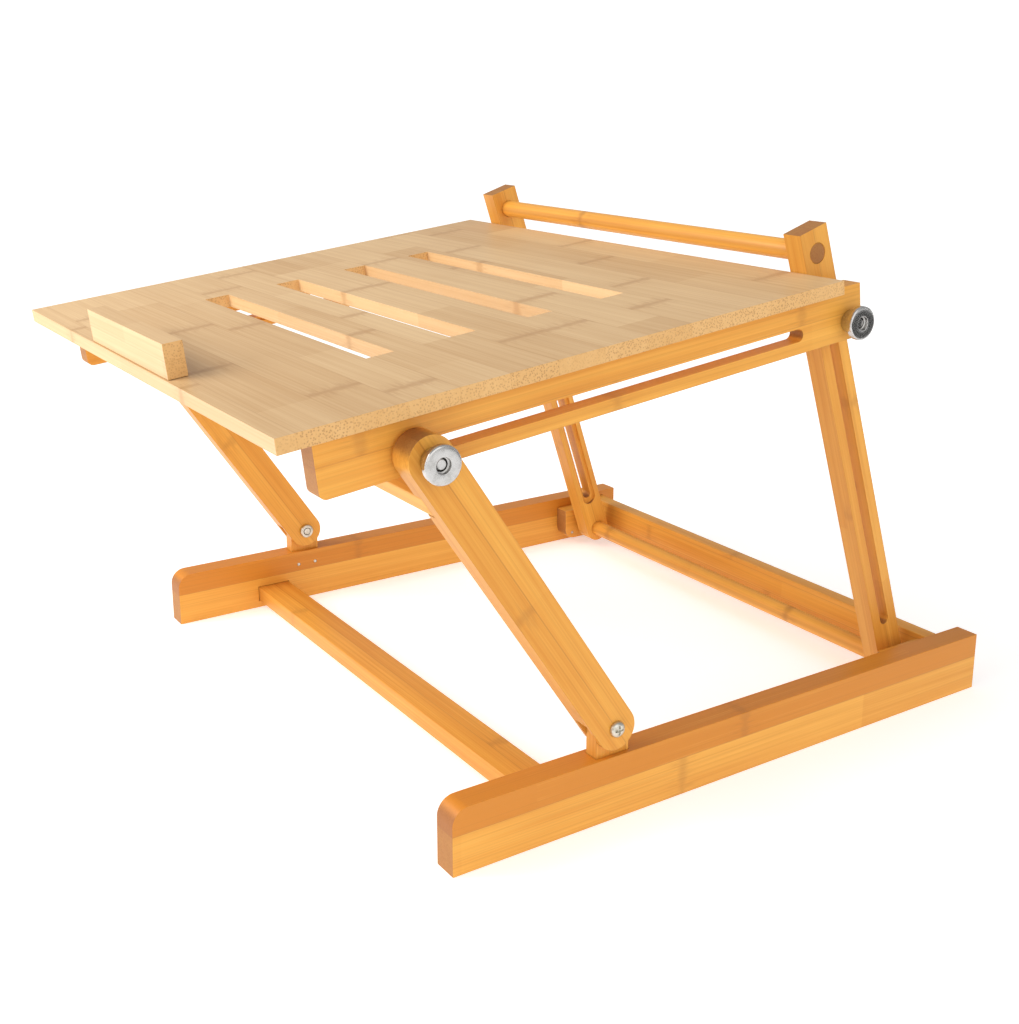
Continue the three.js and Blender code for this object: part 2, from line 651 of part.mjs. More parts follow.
/** The slotted rail under a side of the panel. */
function platformRail() {
  const top = -PANEL_THICKNESS - GAP;
  const bottom = -PANEL_THICKNESS - PLATFORM_RAIL_HEIGHT;
  const corner = PLATFORM_RAIL_CORNER;
  const outline = roundedRectangle(PLATFORM_RAIL_START, bottom, PLATFORM_RAIL_END, top, [corner, corner, 0, 0]);
  const slot = prismX(
    levelSlot(RAIL_SLOT_START, RAIL_SLOT_END, -RAIL_SLOT_DEPTH, RAIL_SLOT_WIDTH),
    PLATFORM_RAIL_INNER_X - CUT_MARGIN,
    PLATFORM_RAIL_OUTER_X + CUT_MARGIN,
  );
  const recess = prismX(
    levelSlot(RAIL_SLOT_START - RECESS_OVERRUN, RAIL_SLOT_END + RECESS_OVERRUN, -RAIL_SLOT_DEPTH, RECESS_WIDTH),
    PLATFORM_RAIL_INNER_X - CUT_MARGIN,
    PLATFORM_RAIL_INNER_X + RECESS_DEPTH,
  );
  const boltHole = rodX(
    BOLT_HOLE_RADIUS,
    PLATFORM_RAIL_INNER_X - CUT_MARGIN,
    PLATFORM_RAIL_OUTER_X + CUT_MARGIN,
    REAR_BOLT_STATION,
    -RAIL_SLOT_DEPTH,
  );
  return cut(prismX(outline, PLATFORM_RAIL_INNER_X, PLATFORM_RAIL_OUTER_X), [slot, recess, boltHole]);
}

/** The panel with its rails and its stop bar. */
function platform() {
  const group = new THREE.Group();
  piece(group, "platform_panel", panel(), PANEL_BAMBOO());
  pair(group, "platform_rail", platformRail(), FRAME_BAMBOO);
  piece(group, "stop_lip", lip(), PANEL_BAMBOO());
  pair(group, "lip_screw", lipScrewShape(LIP_SCREW_X, 0), ZINC);
  group.position.set(0, PLATFORM_FRONT_Y, PLATFORM_FRONT_Z);
  group.rotation.x = PLATFORM_TILT;
  return group;
}

// ---- the stand ----

const group = new THREE.Group();
group.add(base(), rearLegs(), rearClamp(), frontArms(), platform());
group.position.y = -(BASE_LENGTH + PLATFORM_FRONT_Y) / 2;

export default group;
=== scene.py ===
"""Adjustable bamboo laptop stand: timber, fittings, floor, light and camera.

Every length is in metres. +X is to the right seen from the front, +Y runs to the back, +Z is up.
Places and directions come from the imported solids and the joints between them.
"""

import json
import logging
import math
from dataclasses import dataclass, field, fields
from enum import Enum

import bmesh
import bpy
import numpy as np
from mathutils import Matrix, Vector


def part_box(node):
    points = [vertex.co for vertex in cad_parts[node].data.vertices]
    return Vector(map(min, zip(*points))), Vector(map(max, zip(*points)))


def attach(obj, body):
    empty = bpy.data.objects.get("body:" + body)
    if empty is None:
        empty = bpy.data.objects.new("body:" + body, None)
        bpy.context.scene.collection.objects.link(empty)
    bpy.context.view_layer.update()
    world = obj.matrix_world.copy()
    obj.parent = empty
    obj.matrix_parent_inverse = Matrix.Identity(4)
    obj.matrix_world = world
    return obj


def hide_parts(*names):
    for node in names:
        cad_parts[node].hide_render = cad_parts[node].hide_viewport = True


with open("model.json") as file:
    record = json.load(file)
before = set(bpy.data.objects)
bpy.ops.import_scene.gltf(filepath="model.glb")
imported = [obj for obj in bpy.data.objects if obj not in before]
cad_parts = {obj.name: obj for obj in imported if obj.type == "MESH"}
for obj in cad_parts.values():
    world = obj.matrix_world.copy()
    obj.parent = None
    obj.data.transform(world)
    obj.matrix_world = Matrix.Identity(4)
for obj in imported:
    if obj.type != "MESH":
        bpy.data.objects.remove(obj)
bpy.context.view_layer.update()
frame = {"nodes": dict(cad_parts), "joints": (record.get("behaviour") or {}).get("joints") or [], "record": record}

log = logging.getLogger("laptop_stand")

Rgb = tuple[float, float, float]
Triple = tuple[float, float, float]
Span = tuple[float, float]
Array = np.ndarray

X_AXIS = np.array([1.0, 0.0, 0.0])
Y_AXIS = np.array([0.0, 1.0, 0.0])
Z_AXIS = np.array([0.0, 0.0, 1.0])

# The most of a line that one rounded corner takes, and the points on that corner.
CORNER_SHARE = 0.45
CORNER_STEPS = 5
# Points closer than this are one point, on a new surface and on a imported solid.
SURFACE_DOUBLE = 1e-7
SOLID_DOUBLE = 2e-6


class Side(Enum):
    """The two halves of the stand, with the way outwards along X."""

    RIGHT = 1.0
    LEFT = -1.0

    @property
    def word(self) -> str:
        """The side's word in node names."""
        return self.name.lower()


class Wood(Enum):
    """How the bamboo was steamed before it was laminated."""

    HONEY = "honey"
    PALE = "pale"


# ---- places on the stand ----


def joint_point(name: str) -> Array:
    """Where a hinge's axis crosses the stand's middle plane.

    Args:
        name: the hinge's name in the record.

    Returns:
        The point, with no sideways part.
    """
    found = next(j for j in frame["joints"] if j["name"] == name)
    return np.array([0.0, found["pos_m"][1], found["pos_m"][2]])


def unit(vector: Array) -> Array:
    """The vector at length one."""
    return vector / np.linalg.norm(vector)


def node_points(node: str) -> Array:
    """All corners of a CAD node's mesh, one row each."""
    mesh = frame["nodes"][node].data
    flat = np.empty(len(mesh.vertices) * 3, np.float32)
    mesh.vertices.foreach_get("co", flat)
    return flat.reshape(-1, 3).astype(float)


def node_box(node: str) -> tuple[Array, Array]:
    """A CAD node's lowest and highest corners."""
    low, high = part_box(node)
    return np.array(low), np.array(high)


def turned_size(node: str) -> Span:
    """The length along X and the radius of a turned fitting's CAD node."""
    low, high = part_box(node)
    return high.x - low.x, (high.z - low.z) / 2


@dataclass(frozen=True)
class Lines:
    """The stand's own directions, read from its joints."""

    arm: Array = field(
        default_factory=lambda: unit(joint_point("platform_tilt") - joint_point("arm_swing"))
    )
    leg: Array = field(
        default_factory=lambda: unit(joint_point("rear_knob_right_turn") - joint_point("leg_swing"))
    )
    platform: Array = field(
        default_factory=lambda: unit(
            joint_point("rear_knob_right_turn") - joint_point("platform_tilt")
        )
    )


LINES = Lines()


# ---- surfaces ----


@dataclass
class Surface:
    """A mesh as plain arrays."""

    points: Array
    quads: Array

    def placed(self, origin: Array, along: Array, across: Array) -> "Surface":
        """The surface moved from its own axes to the stand's.

        Args:
            origin: where the surface's own zero goes.
            along: the direction of its first axis.
            across: the direction of its second axis.

        Returns:
            The same surface in the stand's frame.
        """
        third = np.cross(along, across)
        basis = np.stack([along, across, third])
        return Surface(self.points @ basis + origin, self.quads)

    def outward(self) -> "Surface":
        """The surface with its faces turned out, judged by the volume that they enclose."""
        a, b, c, d = (self.points[self.quads[:, k]] for k in range(4))
        volume = np.einsum("ij,ij->i", a, np.cross(b, c)).sum()
        volume += np.einsum("ij,ij->i", a, np.cross(c, d)).sum()
        return self if volume > 0 else Surface(self.points, self.quads[:, ::-1])


def grid_quads(rows: int, columns: int, wrap_rows: bool, wrap_columns: bool) -> Array:
    """The quads of a grid of points stored row by row.

    Args:
        rows: how many rows of points there are.
        columns: how many points a row has.
        wrap_rows: whether the last row meets the first.
        wrap_columns: whether a row's last point meets its first.

    Returns:
        One row of four point numbers for each quad.
    """
    r = np.arange(rows if wrap_rows else rows - 1)[:, None]
    c = np.arange(columns if wrap_columns else columns - 1)[None, :]
    r1, c1 = (r + 1) % rows, (c + 1) % columns
    corners = [r * columns + c, r * columns + c1, r1 * columns + c1, r1 * columns + c]
    return np.stack([np.broadcast_to(k, (len(r), c.shape[1])).ravel() for k in corners], axis=1)


def eased(outline: Array, radii: Array, closed: bool) -> Array:
    """A broken line with each corner rounded.

    A corner P with radius e becomes the curve (1-t)^2 A + 2 t (1-t) P + t^2 B, where A and B lie
    at distance e from P on the two lines that meet there.

    Args:
        outline: the corners, one row each.
        radii: the radius at each corner, cut back to a share of the shorter line beside it.
        closed: whether the last corner joins the first.

    Returns:
        The rounded line's points.
    """
    before, after = np.roll(outline, 1, axis=0), np.roll(outline, -1, axis=0)
    into, out = outline - before, after - outline
    length_in = np.linalg.norm(into, axis=1)
    length_out = np.linalg.norm(out, axis=1)
    ease = np.minimum(radii, CORNER_SHARE * np.minimum(length_in, length_out))[:, None]
    if not closed:
        ease[[0, -1]] = 0.0
    start = outline - into / length_in[:, None] * ease
    end = outline + out / length_out[:, None] * ease
    t = np.linspace(0.0, 1.0, CORNER_STEPS)[None, :, None]
    curve = (1 - t) ** 2 * start[:, None] + 2 * t * (1 - t) * outline[:, None] + t**2 * end[:, None]
    return curve.reshape(-1, outline.shape[1])


def turned(outline: Array, sides: int, hollow: bool) -> Surface:
    """A lathe piece: point (s, a) is (along(s), radius(s) cos a, radius(s) sin a).

    Args:
        outline: rows of (along, radius); a hollow piece's outline closes on itself.
        sides: how many points go round.
        hollow: whether the piece has a hole through it.

    Returns:
        The surface about its own first axis.
    """
    angle = np.linspace(0.0, 2 * math.pi, sides, endpoint=False)
    along = np.broadcast_to(outline[:, :1], (len(outline), sides))
    points = np.stack(
        [along, outline[:, 1:] * np.cos(angle), outline[:, 1:] * np.sin(angle)], axis=-1
    )
    return Surface(points.reshape(-1, 3), grid_quads(len(outline), sides, hollow, True))


def eased_bar(length: float, width: float, height: float, ease: float) -> Surface:
    """A straight bar whose long edges and end edges are all rounded by the same ease.

    Ring k is the rectangle's four corner centres plus (ease - inset) (cos a, sin a), carried to
    the station of that ring; at each end the inset runs through a quarter circle and the last
    ring shrinks to the middle of the end face.

    Args:
        length: along the first axis, from 0.
        width: across the second axis, centred.
        height: across the third axis, centred.
        ease: the edges' radius.

    Returns:
        The bar about its own axes.
    """
    turn = np.linspace(0.0, math.pi / 2, CORNER_STEPS)
    from_end = ease * (1 - np.sin(turn))
    from_side = ease * (1 - np.cos(turn))
    station = np.concatenate([[0.0], from_end[::-1], length - from_end, [length]])
    inset = np.concatenate([[ease], from_side[::-1], from_side, [ease]])
    size = np.ones(len(station))
    size[[0, -1]] = 0.0
    angle = (turn[None, :] + np.arange(4)[:, None] * math.pi / 2).ravel()
    centre_y = np.repeat(np.array([1, -1, -1, 1]) * (width / 2 - ease), CORNER_STEPS)
    centre_z = np.repeat(np.array([1, 1, -1, -1]) * (height / 2 - ease), CORNER_STEPS)
    reach = (ease - inset)[:, None]
    y = (centre_y + reach * np.cos(angle)) * size[:, None]
    z = (centre_z + reach * np.sin(angle)) * size[:, None]
    x = np.broadcast_to(station[:, None], y.shape)
    points = np.stack([x, y, z], axis=-1).reshape(-1, 3)
    return Surface(points, grid_quads(len(station), len(angle), False, True))


@dataclass(frozen=True)
class CrossHead:
    """A screw's head with a cross recess.

    At radius r and angle a the head stands height * (1 - (r / radius)^4)^0.5 above its rim. The
    recess takes away depth * k, where k falls smoothly from 1 to 0 across the walls of the cross,
    and its floor comes up towards the ends of the arms.
    """

    radius: float
    height: float
    arm: float
    depth: float
    wall_share: float = 0.12
    slot_share: float = 0.2
    floor_rise: float = 0.55
    fine_share: float = 0.62
    coarse_share: float = 0.66
    fine_rings: int = 22
    coarse_rings: int = 10
    sides: int = 80

    def inside(self, distance: Array) -> Array:
        """One before a wall and nought a little way past it, with a smooth fall between."""
        t = np.clip(0.5 - distance / (self.wall_share * self.arm), 0.0, 1.0)
        return t * t * (3 - 2 * t)

    def screw(self, shank: Array) -> Surface:
        """The whole screw, as rings about its axis.

        Below the rim the rings follow the shank's outline and close on the axis at its tip.

        Args:
            shank: rows of (along, radius) below the rim, ending on the axis.

        Returns:
            The screw about its own first axis, with its rim at zero and its head outwards.
        """
        fine = np.linspace(0.0, self.fine_share, self.fine_rings)
        coarse = np.linspace(self.coarse_share, 1.0, self.coarse_rings)
        r = np.concatenate([fine, coarse])[:, None] * self.radius
        angle = np.linspace(0.0, 2 * math.pi, self.sides, endpoint=False)[None, :]
        y, z = r * np.cos(angle), r * np.sin(angle)
        half_width = self.slot_share * self.arm
        level = self.inside(np.abs(y) - self.arm) * self.inside(np.abs(z) - half_width)
        upright = self.inside(np.abs(z) - self.arm) * self.inside(np.abs(y) - half_width)
        slope = 1 - self.floor_rise * np.hypot(y, z) / self.arm
        dome = self.height * np.sqrt(np.clip(1 - (r / self.radius) ** 4, 0.0, 1.0))
        x = dome - self.depth * slope * np.maximum(level, upright)
        x = np.concatenate([x, np.broadcast_to(shank[:, :1], (len(shank), self.sides))])
        y = np.concatenate([y, shank[:, 1:] * np.cos(angle)])
        z = np.concatenate([z, shank[:, 1:] * np.sin(angle)])
        points = np.stack([x, y, z], axis=-1).reshape(-1, 3)
        return Surface(points, grid_quads(x.shape[0], x.shape[1], False, True))


def into_scene(name: str, data: bpy.types.ID) -> bpy.types.Object:
    """A new object in the scene for a mesh, a lamp or a camera."""
    made = bpy.data.objects.new(name, data)
    bpy.context.scene.collection.objects.link(made)
    return made


def mesh_from(name: str, surface: Surface) -> bpy.types.Object:
    """A Blender piece from a surface, with doubled points at poles drawn together.

    Args:
        name: the piece's name.
        surface: what it is made of.

    Returns:
        The new object, at the origin.
    """
    mesh = bpy.data.meshes.new(name)
    count = len(surface.quads)
    mesh.vertices.add(len(surface.points))
    mesh.vertices.foreach_set("co", surface.points.astype(np.float32).ravel())
    mesh.loops.add(count * 4)
    mesh.loops.foreach_set("vertex_index", surface.quads.astype(np.int32).ravel())
    mesh.polygons.add(count)
    mesh.polygons.foreach_set("loop_start", np.arange(count, dtype=np.int32) * 4)
    mesh.update(calc_edges=True)
    draw_together(mesh, SURFACE_DOUBLE)
    return into_scene(name, mesh)


def draw_together(mesh: bpy.types.Mesh, distance: float) -> None:
    """Merges a mesh's points that lie closer than a distance."""
    work = bmesh.new()
    work.from_mesh(mesh)
    bmesh.ops.remove_doubles(work, verts=work.verts, dist=distance)
    bmesh.ops.dissolve_degenerate(work, edges=work.edges, dist=distance / 10)
    work.to_mesh(mesh)
    work.free()
    mesh.validate()


def smooth(mesh: bpy.types.Mesh, crease: float) -> None:
    """Shades a mesh smooth, with edges sharper than the crease angle left sharp."""
    mesh.polygons.foreach_set("use_smooth", np.ones(len(mesh.polygons), dtype=bool))
    mesh.set_sharp_from_angle(angle=math.radians(crease))
    mesh.update()


# ---- shading ----


class Sheet:
    """A node tree being wired up."""

    def __init__(self, tree: bpy.types.NodeTree) -> None:
        """Starts on a tree.

        Args:
            tree: the tree that nodes are added to.
        """
        self.tree = tree

    def put(self, kind: str, **settings: object) -> bpy.types.Node:
        """Adds a node of a kind, with some of its settings."""
        node = self.tree.nodes.new(kind)
        for name, value in settings.items():
            setattr(node, name, value)
        return node

    def feed(self, socket: bpy.types.NodeSocket, value: object) -> None:
        """Links a socket, or sets its value when the value is a plain one."""
        if isinstance(value, bpy.types.NodeSocket):
            self.tree.links.new(value, socket)
        else:
            socket.default_value = value

    def math(self, operation: str, *values: object, clamp: bool = False) -> bpy.types.NodeSocket:
        """One arithmetic step on numbers."""
        node = self.put("ShaderNodeMath", operation=operation, use_clamp=clamp)
        for socket, value in zip(node.inputs, values):
            self.feed(socket, value)
        return node.outputs[0]

    def vector(self, operation: str, *values: object) -> bpy.types.NodeSocket:
        """One arithmetic step on vectors; a dot product or a length gives its number."""
        node = self.put("ShaderNodeVectorMath", operation=operation)
        for socket, value in zip(node.inputs, values):
            self.feed(socket, value)
        number = operation in ("DOT_PRODUCT", "LENGTH")
        return node.outputs["Value" if number else "Vector"]

    def scaled(self, vector: object, factor: object) -> bpy.types.NodeSocket:
        """A vector at a changed length."""
        node = self.put("ShaderNodeVectorMath", operation="SCALE")
        self.feed(node.inputs[0], vector)
        self.feed(node.inputs["Scale"], factor)
        return node.outputs["Vector"]

    def apart(self, vector: bpy.types.NodeSocket) -> list[bpy.types.NodeSocket]:
        """A vector's three parts."""
        node = self.put("ShaderNodeSeparateXYZ")
        self.feed(node.inputs[0], vector)
        return list(node.outputs)

    def together(self, *values: object) -> bpy.types.NodeSocket:
        """Three numbers as one vector."""
        node = self.put("ShaderNodeCombineXYZ")
        for socket, value in zip(node.inputs, values):
            self.feed(socket, value)
        return node.outputs[0]

    def ramp(self, value: object, low: float, high: float) -> bpy.types.NodeSocket:
        """A smooth rise from 0 at low to 1 at high."""
        node = self.put("ShaderNodeMapRange", interpolation_type="SMOOTHSTEP")
        for socket, number in zip(node.inputs, (value, low, high, 0.0, 1.0)):
            self.feed(socket, number)
        return node.outputs[0]

    def fall(self, value: object, low: float, high: float) -> bpy.types.NodeSocket:
        """A smooth fall from 1 at low to 0 at high."""
        return self.math("SUBTRACT", 1.0, self.ramp(value, low, high))

    def sway(
        self, noise: object, amount: object, middle: object, clamp: bool = False
    ) -> bpy.types.NodeSocket:
        """A middle value, moved by an amount times how far a noise is from one half."""
        off = self.math("SUBTRACT", noise, 0.5)
        return self.math("MULTIPLY_ADD", off, amount, middle, clamp=clamp)

    def colour(self, share: object, a: object, b: object, how: str = "MIX") -> bpy.types.NodeSocket:
        """Two colours mixed, from a at share 0 to b at share 1."""
        node = self.put("ShaderNodeMix", data_type="RGBA", blend_type=how)
        for socket, value in zip((node.inputs[0], node.inputs[6], node.inputs[7]), (share, a, b)):
            self.feed(socket, value)
        return node.outputs[2]

    def noise(
        self, place: object, stretch: Triple, detail: float = 2.0, roughness: float = 0.5
    ) -> bpy.types.NodeSocket:
        """Cloudy noise, with so many clouds to the metre along each axis."""
        node = self.put("ShaderNodeTexNoise")
        self.feed(node.inputs["Vector"], self.vector("MULTIPLY", place, stretch))
        self.feed(node.inputs["Scale"], 1.0)
        self.feed(node.inputs["Detail"], detail)
        self.feed(node.inputs["Roughness"], roughness)
        return node.outputs[0]

    def chance(self, place: object) -> bpy.types.Node:
        """A number and a colour drawn afresh for each whole place."""
        node = self.put("ShaderNodeTexWhiteNoise", noise_dimensions="3D")
        self.feed(node.inputs["Vector"], place)
        return node


PATTERN = {"Color": "NodeSocketColor", "Roughness": "NodeSocketFloat", "Height": "NodeSocketFloat"}


def new_group(name: str, inputs: dict[str, object]) -> tuple[Sheet, dict, bpy.types.Node]:
    """An empty shader node group for a pattern, with named sockets.

    Args:
        name: of the group.
        inputs: each input's name and starting value; three numbers make a vector, four a colour.

    Returns:
        The sheet to wire on, the inputs by name, and the group's output node.
    """
    tree = bpy.data.node_groups.new(name, "ShaderNodeTree")
    kinds = {1: "NodeSocketFloat", 3: "NodeSocketVector", 4: "NodeSocketColor"}
    for label, value in inputs.items():
        size = len(value) if isinstance(value, tuple) else 1
        socket = tree.interface.new_socket(name=label, in_out="INPUT", socket_type=kinds[size])
        socket.default_value = value
    for label, kind in PATTERN.items():
        tree.interface.new_socket(name=label, in_out="OUTPUT", socket_type=kind)
    sheet = Sheet(tree)
    entry = sheet.put("NodeGroupInput")
    return sheet, {s.name: s for s in entry.outputs if s.name}, sheet.put("NodeGroupOutput")


@dataclass(frozen=True)
class CanePattern:
    """How bamboo looks close up.

    The first five fields are counts to the metre along, over and through the cane. The next three
    are reaches in metres, then come a dot's edge and the turn from side grain to end grain, and
    the rest are shares.
    """

    fibre: Triple = (9.0, 900.0, 900.0)
    streak: Triple = (3.5, 210.0, 210.0)
    cloud: Triple = (11.0, 38.0, 38.0)
    fleck: Triple = (70.0, 800.0, 800.0)
    bundle: Triple = (2.0, 860.0, 860.0)
    seam: Span = (0.00005, 0.0005)
    ridge: Span = (0.0003, 0.0052)
    beside: Span = (0.002, 0.016)
    dot: Span = (0.2, 0.5)
    end_turn: Span = (0.6, 0.95)
    fleck_edge: Span = (0.44, 0.7)
    wander: float = 0.008
    middle_tone: float = 0.45
    streak_tone: float = 0.9
    fibre_tone: float = 0.8
    cloud_tone: float = 0.5
    ridge_stain: float = 0.5
    fleck_stain: float = 0.42
    seam_stain: float = 0.28
    line_stain: float = 0.1

    def group(self) -> bpy.types.NodeTree:
        """The group that draws laminated bamboo.

        The piece is cut into strips across it and plies through it. Along each strip the culm's
        knuckles come round at a spacing of their own, the tone changes at each of them, and short
        brown streaks gather beside them. Fine fibres run the whole length; the same fibres cut
        across are the dots of an end face.

        Returns:
            The group's tree.
        """
        sheet, take, give = new_group(
            "laminated_bamboo",
            {
                "Position": (0.0, 0.0, 0.0),
                "Facing": (0.0, 0.0, 1.0),
                "Grain": (1.0, 0.0, 0.0),
                "Across": (0.0, 1.0, 0.0),
                "Start": (0.0, 0.0, 0.0),
                "Light": (0.8, 0.5, 0.25, 1.0),
                "Dark": (0.5, 0.28, 0.1, 1.0),
                "Knuckle": (0.25, 0.12, 0.04, 1.0),
                "End Face": (0.35, 0.18, 0.07, 1.0),
                "Strip Width": 0.02,
                "Strip Shift": 0.0,
                "Strip Tone": 0.0,
                "Ply Thickness": 0.02,
                "Knuckle Spacing": 0.25,
                "Knuckle Strength": 1.0,
                "Tone Spread": 0.5,
                "End Share": 0.5,
                "Dot Contrast": 0.5,
                "Batch": 0.0,
            },
        )
        grain, across = take["Grain"], take["Across"]
        through = sheet.vector("CROSS_PRODUCT", grain, across)
        ways = (grain, across, through)
        own = sheet.together(*(sheet.vector("DOT_PRODUCT", take["Position"], way) for way in ways))
        own = sheet.vector("SUBTRACT", own, take["Start"])
        along, over, deep = sheet.apart(own)

        strips = sheet.math("DIVIDE", over, take["Strip Width"])
        strips = sheet.math("ADD", strips, take["Strip Shift"])
        strip = sheet.math("FLOOR", strips)
        ply = sheet.math("FLOOR", sheet.math("DIVIDE", deep, take["Ply Thickness"]))
        off_middle = sheet.math("SUBTRACT", sheet.math("FRACT", strips), 0.5)
        to_seam = sheet.math("SUBTRACT", 0.5, sheet.math("ABSOLUTE", off_middle))
        to_seam = sheet.math("MULTIPLY", to_seam, take["Strip Width"])
        seam = sheet.fall(to_seam, *self.seam)

        which = sheet.together(strip, ply, take["Batch"])
        drawn = sheet.apart(sheet.chance(which).outputs["Color"])
        run = sheet.math("DIVIDE", along, take["Knuckle Spacing"])
        run = sheet.math("ADD", run, sheet.math("MULTIPLY", drawn[1], 3.0))
        cell = sheet.math("FLOOR", run)
        layer = sheet.math("ADD", ply, take["Batch"])
        cane = sheet.chance(sheet.together(strip, layer, cell)).outputs["Value"]
        off_knuckle = sheet.math("SUBTRACT", sheet.math("FRACT", run), 0.5)
        to_knuckle = sheet.math("ABSOLUTE", off_knuckle)
        to_knuckle = sheet.math("MULTIPLY", to_knuckle, take["Knuckle Spacing"])

        shifted = sheet.vector("ADD", own, sheet.scaled(which, 0.37))
        fibre = sheet.noise(shifted, self.fibre, 3.0, 0.6)
        streak = sheet.noise(shifted, self.streak, 2.0, 0.55)
        cloud = sheet.noise(shifted, self.cloud)
        fleck = sheet.noise(shifted, self.fleck)

        tone = sheet.sway(cane, take["Tone Spread"], self.middle_tone)
        tone = sheet.math("MULTIPLY_ADD", strip, take["Strip Tone"], tone)
        tone = sheet.sway(streak, self.streak_tone, tone)
        tone = sheet.sway(fibre, self.fibre_tone, tone)
        tone = sheet.sway(cloud, self.cloud_tone, tone, clamp=True)
        colour = sheet.colour(tone, take["Light"], take["Dark"])

        ridge = sheet.fall(sheet.sway(streak, self.wander, to_knuckle), *self.ridge)
        beside = sheet.fall(to_knuckle, *self.beside)
        flecks = sheet.math("MULTIPLY", beside, sheet.ramp(fleck, *self.fleck_edge))
        flecks = sheet.math("MULTIPLY", flecks, self.fleck_stain)
        brown = sheet.math("MAXIMUM", sheet.math("MULTIPLY", ridge, self.ridge_stain), flecks)
        brown = sheet.math("MULTIPLY", brown, take["Knuckle Strength"], clamp=True)
        colour = sheet.colour(brown, colour, take["Knuckle"])
        stain = sheet.math("MULTIPLY", seam, self.seam_stain)
        colour = sheet.colour(stain, colour, take["Knuckle"])

        bundles = sheet.put("ShaderNodeTexVoronoi")
        sheet.feed(bundles.inputs["Vector"], sheet.vector("MULTIPLY", shifted, self.bundle))
        sheet.feed(bundles.inputs["Scale"], 1.0)
        dots = sheet.fall(bundles.outputs["Distance"], *self.dot)
        line = sheet.math("MULTIPLY", dots, self.line_stain)
        colour = sheet.colour(line, colour, take["Knuckle"])
        facing_end = sheet.math("ABSOLUTE", sheet.vector("DOT_PRODUCT", take["Facing"], grain))
        cut = sheet.ramp(facing_end, *self.end_turn)
        cut_colour = sheet.colour(take["End Share"], colour, take["End Face"])
        weave = sheet.math("MULTIPLY_ADD", drawn[2], 0.7, 0.3)
        weave = sheet.math("MULTIPLY", weave, take["Dot Contrast"])
        cut_colour = sheet.colour(sheet.math("MULTIPLY", dots, weave), cut_colour, take["Knuckle"])
        colour = sheet.colour(cut, colour, cut_colour)

        rough = sheet.math("MULTIPLY_ADD", fibre, 0.16, 0.36)
        rough = sheet.math("MULTIPLY_ADD", cut, 0.14, rough)
        height = sheet.math("MULTIPLY_ADD", fibre, 0.5, sheet.math("MULTIPLY", ridge, 0.7))
        height = sheet.math("SUBTRACT", height, seam)
        pores = sheet.math("MULTIPLY", dots, cut)
        height = sheet.math("SUBTRACT", height, sheet.math("MULTIPLY", pores, 0.6))
        for socket, value in zip(give.inputs, (colour, rough, height)):
            sheet.feed(socket, value)
        return sheet.tree


# Marks on turned metal, to the metre.
TOOL_RINGS = 5200.0
FILM_CLOUDS = 260.0
FILM_SPECKS = 1100.0


def plating_group() -> bpy.types.NodeTree:
    """The group that draws turned and plated metal.

    Rings left by the tool go round the piece's axis, and a cloudy film lies over the plating.

    Returns:
        The group's tree.
    """
    sheet, take, give = new_group(
        "turned_plating",
        {
            "Position": (0.0, 0.0, 0.0),
            "Middle": (0.0, 0.0, 0.0),
            "Axis": (1.0, 0.0, 0.0),
            "Bright": (0.8, 0.8, 0.8, 1.0),
            "Film": (0.5, 0.5, 0.5, 1.0),
            "Polish": 0.15,
        },
    )
    own = sheet.vector("SUBTRACT", take["Position"], take["Middle"])
    along = sheet.vector("DOT_PRODUCT", own, take["Axis"])
    flat = sheet.vector("SUBTRACT", own, sheet.scaled(take["Axis"], along))
    radius = sheet.vector("LENGTH", flat)
    rings = sheet.noise(sheet.together(radius, along, 0.0), (TOOL_RINGS,) * 3, 2.0, 0.6)
    film = sheet.noise(own, (FILM_CLOUDS,) * 3, 4.0, 0.65)
    specks = sheet.ramp(sheet.noise(own, (FILM_SPECKS,) * 3), 0.62, 0.72)
    colour = sheet.colour(sheet.ramp(film, 0.4, 0.75), take["Bright"], take["Film"])
    colour = sheet.colour(sheet.math("MULTIPLY", specks, 0.2), colour, take["Film"])
    rough = sheet.math("MULTIPLY_ADD", film, 0.08, take["Polish"])
    rough = sheet.math("MULTIPLY_ADD", rings, 0.05, rough)
    height = sheet.math("MULTIPLY_ADD", rings, 0.6, sheet.math("MULTIPLY", film, 0.25))
    for socket, value in zip(give.inputs, (colour, rough, height)):
        sheet.feed(socket, value)
    return sheet.tree


# ---- finishes ----


def new_material(name: str) -> tuple[bpy.types.Material, Sheet, bpy.types.Node]:
    """A fresh material, the sheet to wire it on, and its shader."""
    material = bpy.data.materials.new(name)
    material.use_nodes = True
    return material, Sheet(material.node_tree), material.node_tree.nodes["Principled BSDF"]


def set_values(node: bpy.types.Node, values: dict[str, object]) -> None:
    """Sets a node's inputs by name."""
    for label, value in values.items():
        node.inputs[label].default_value = value


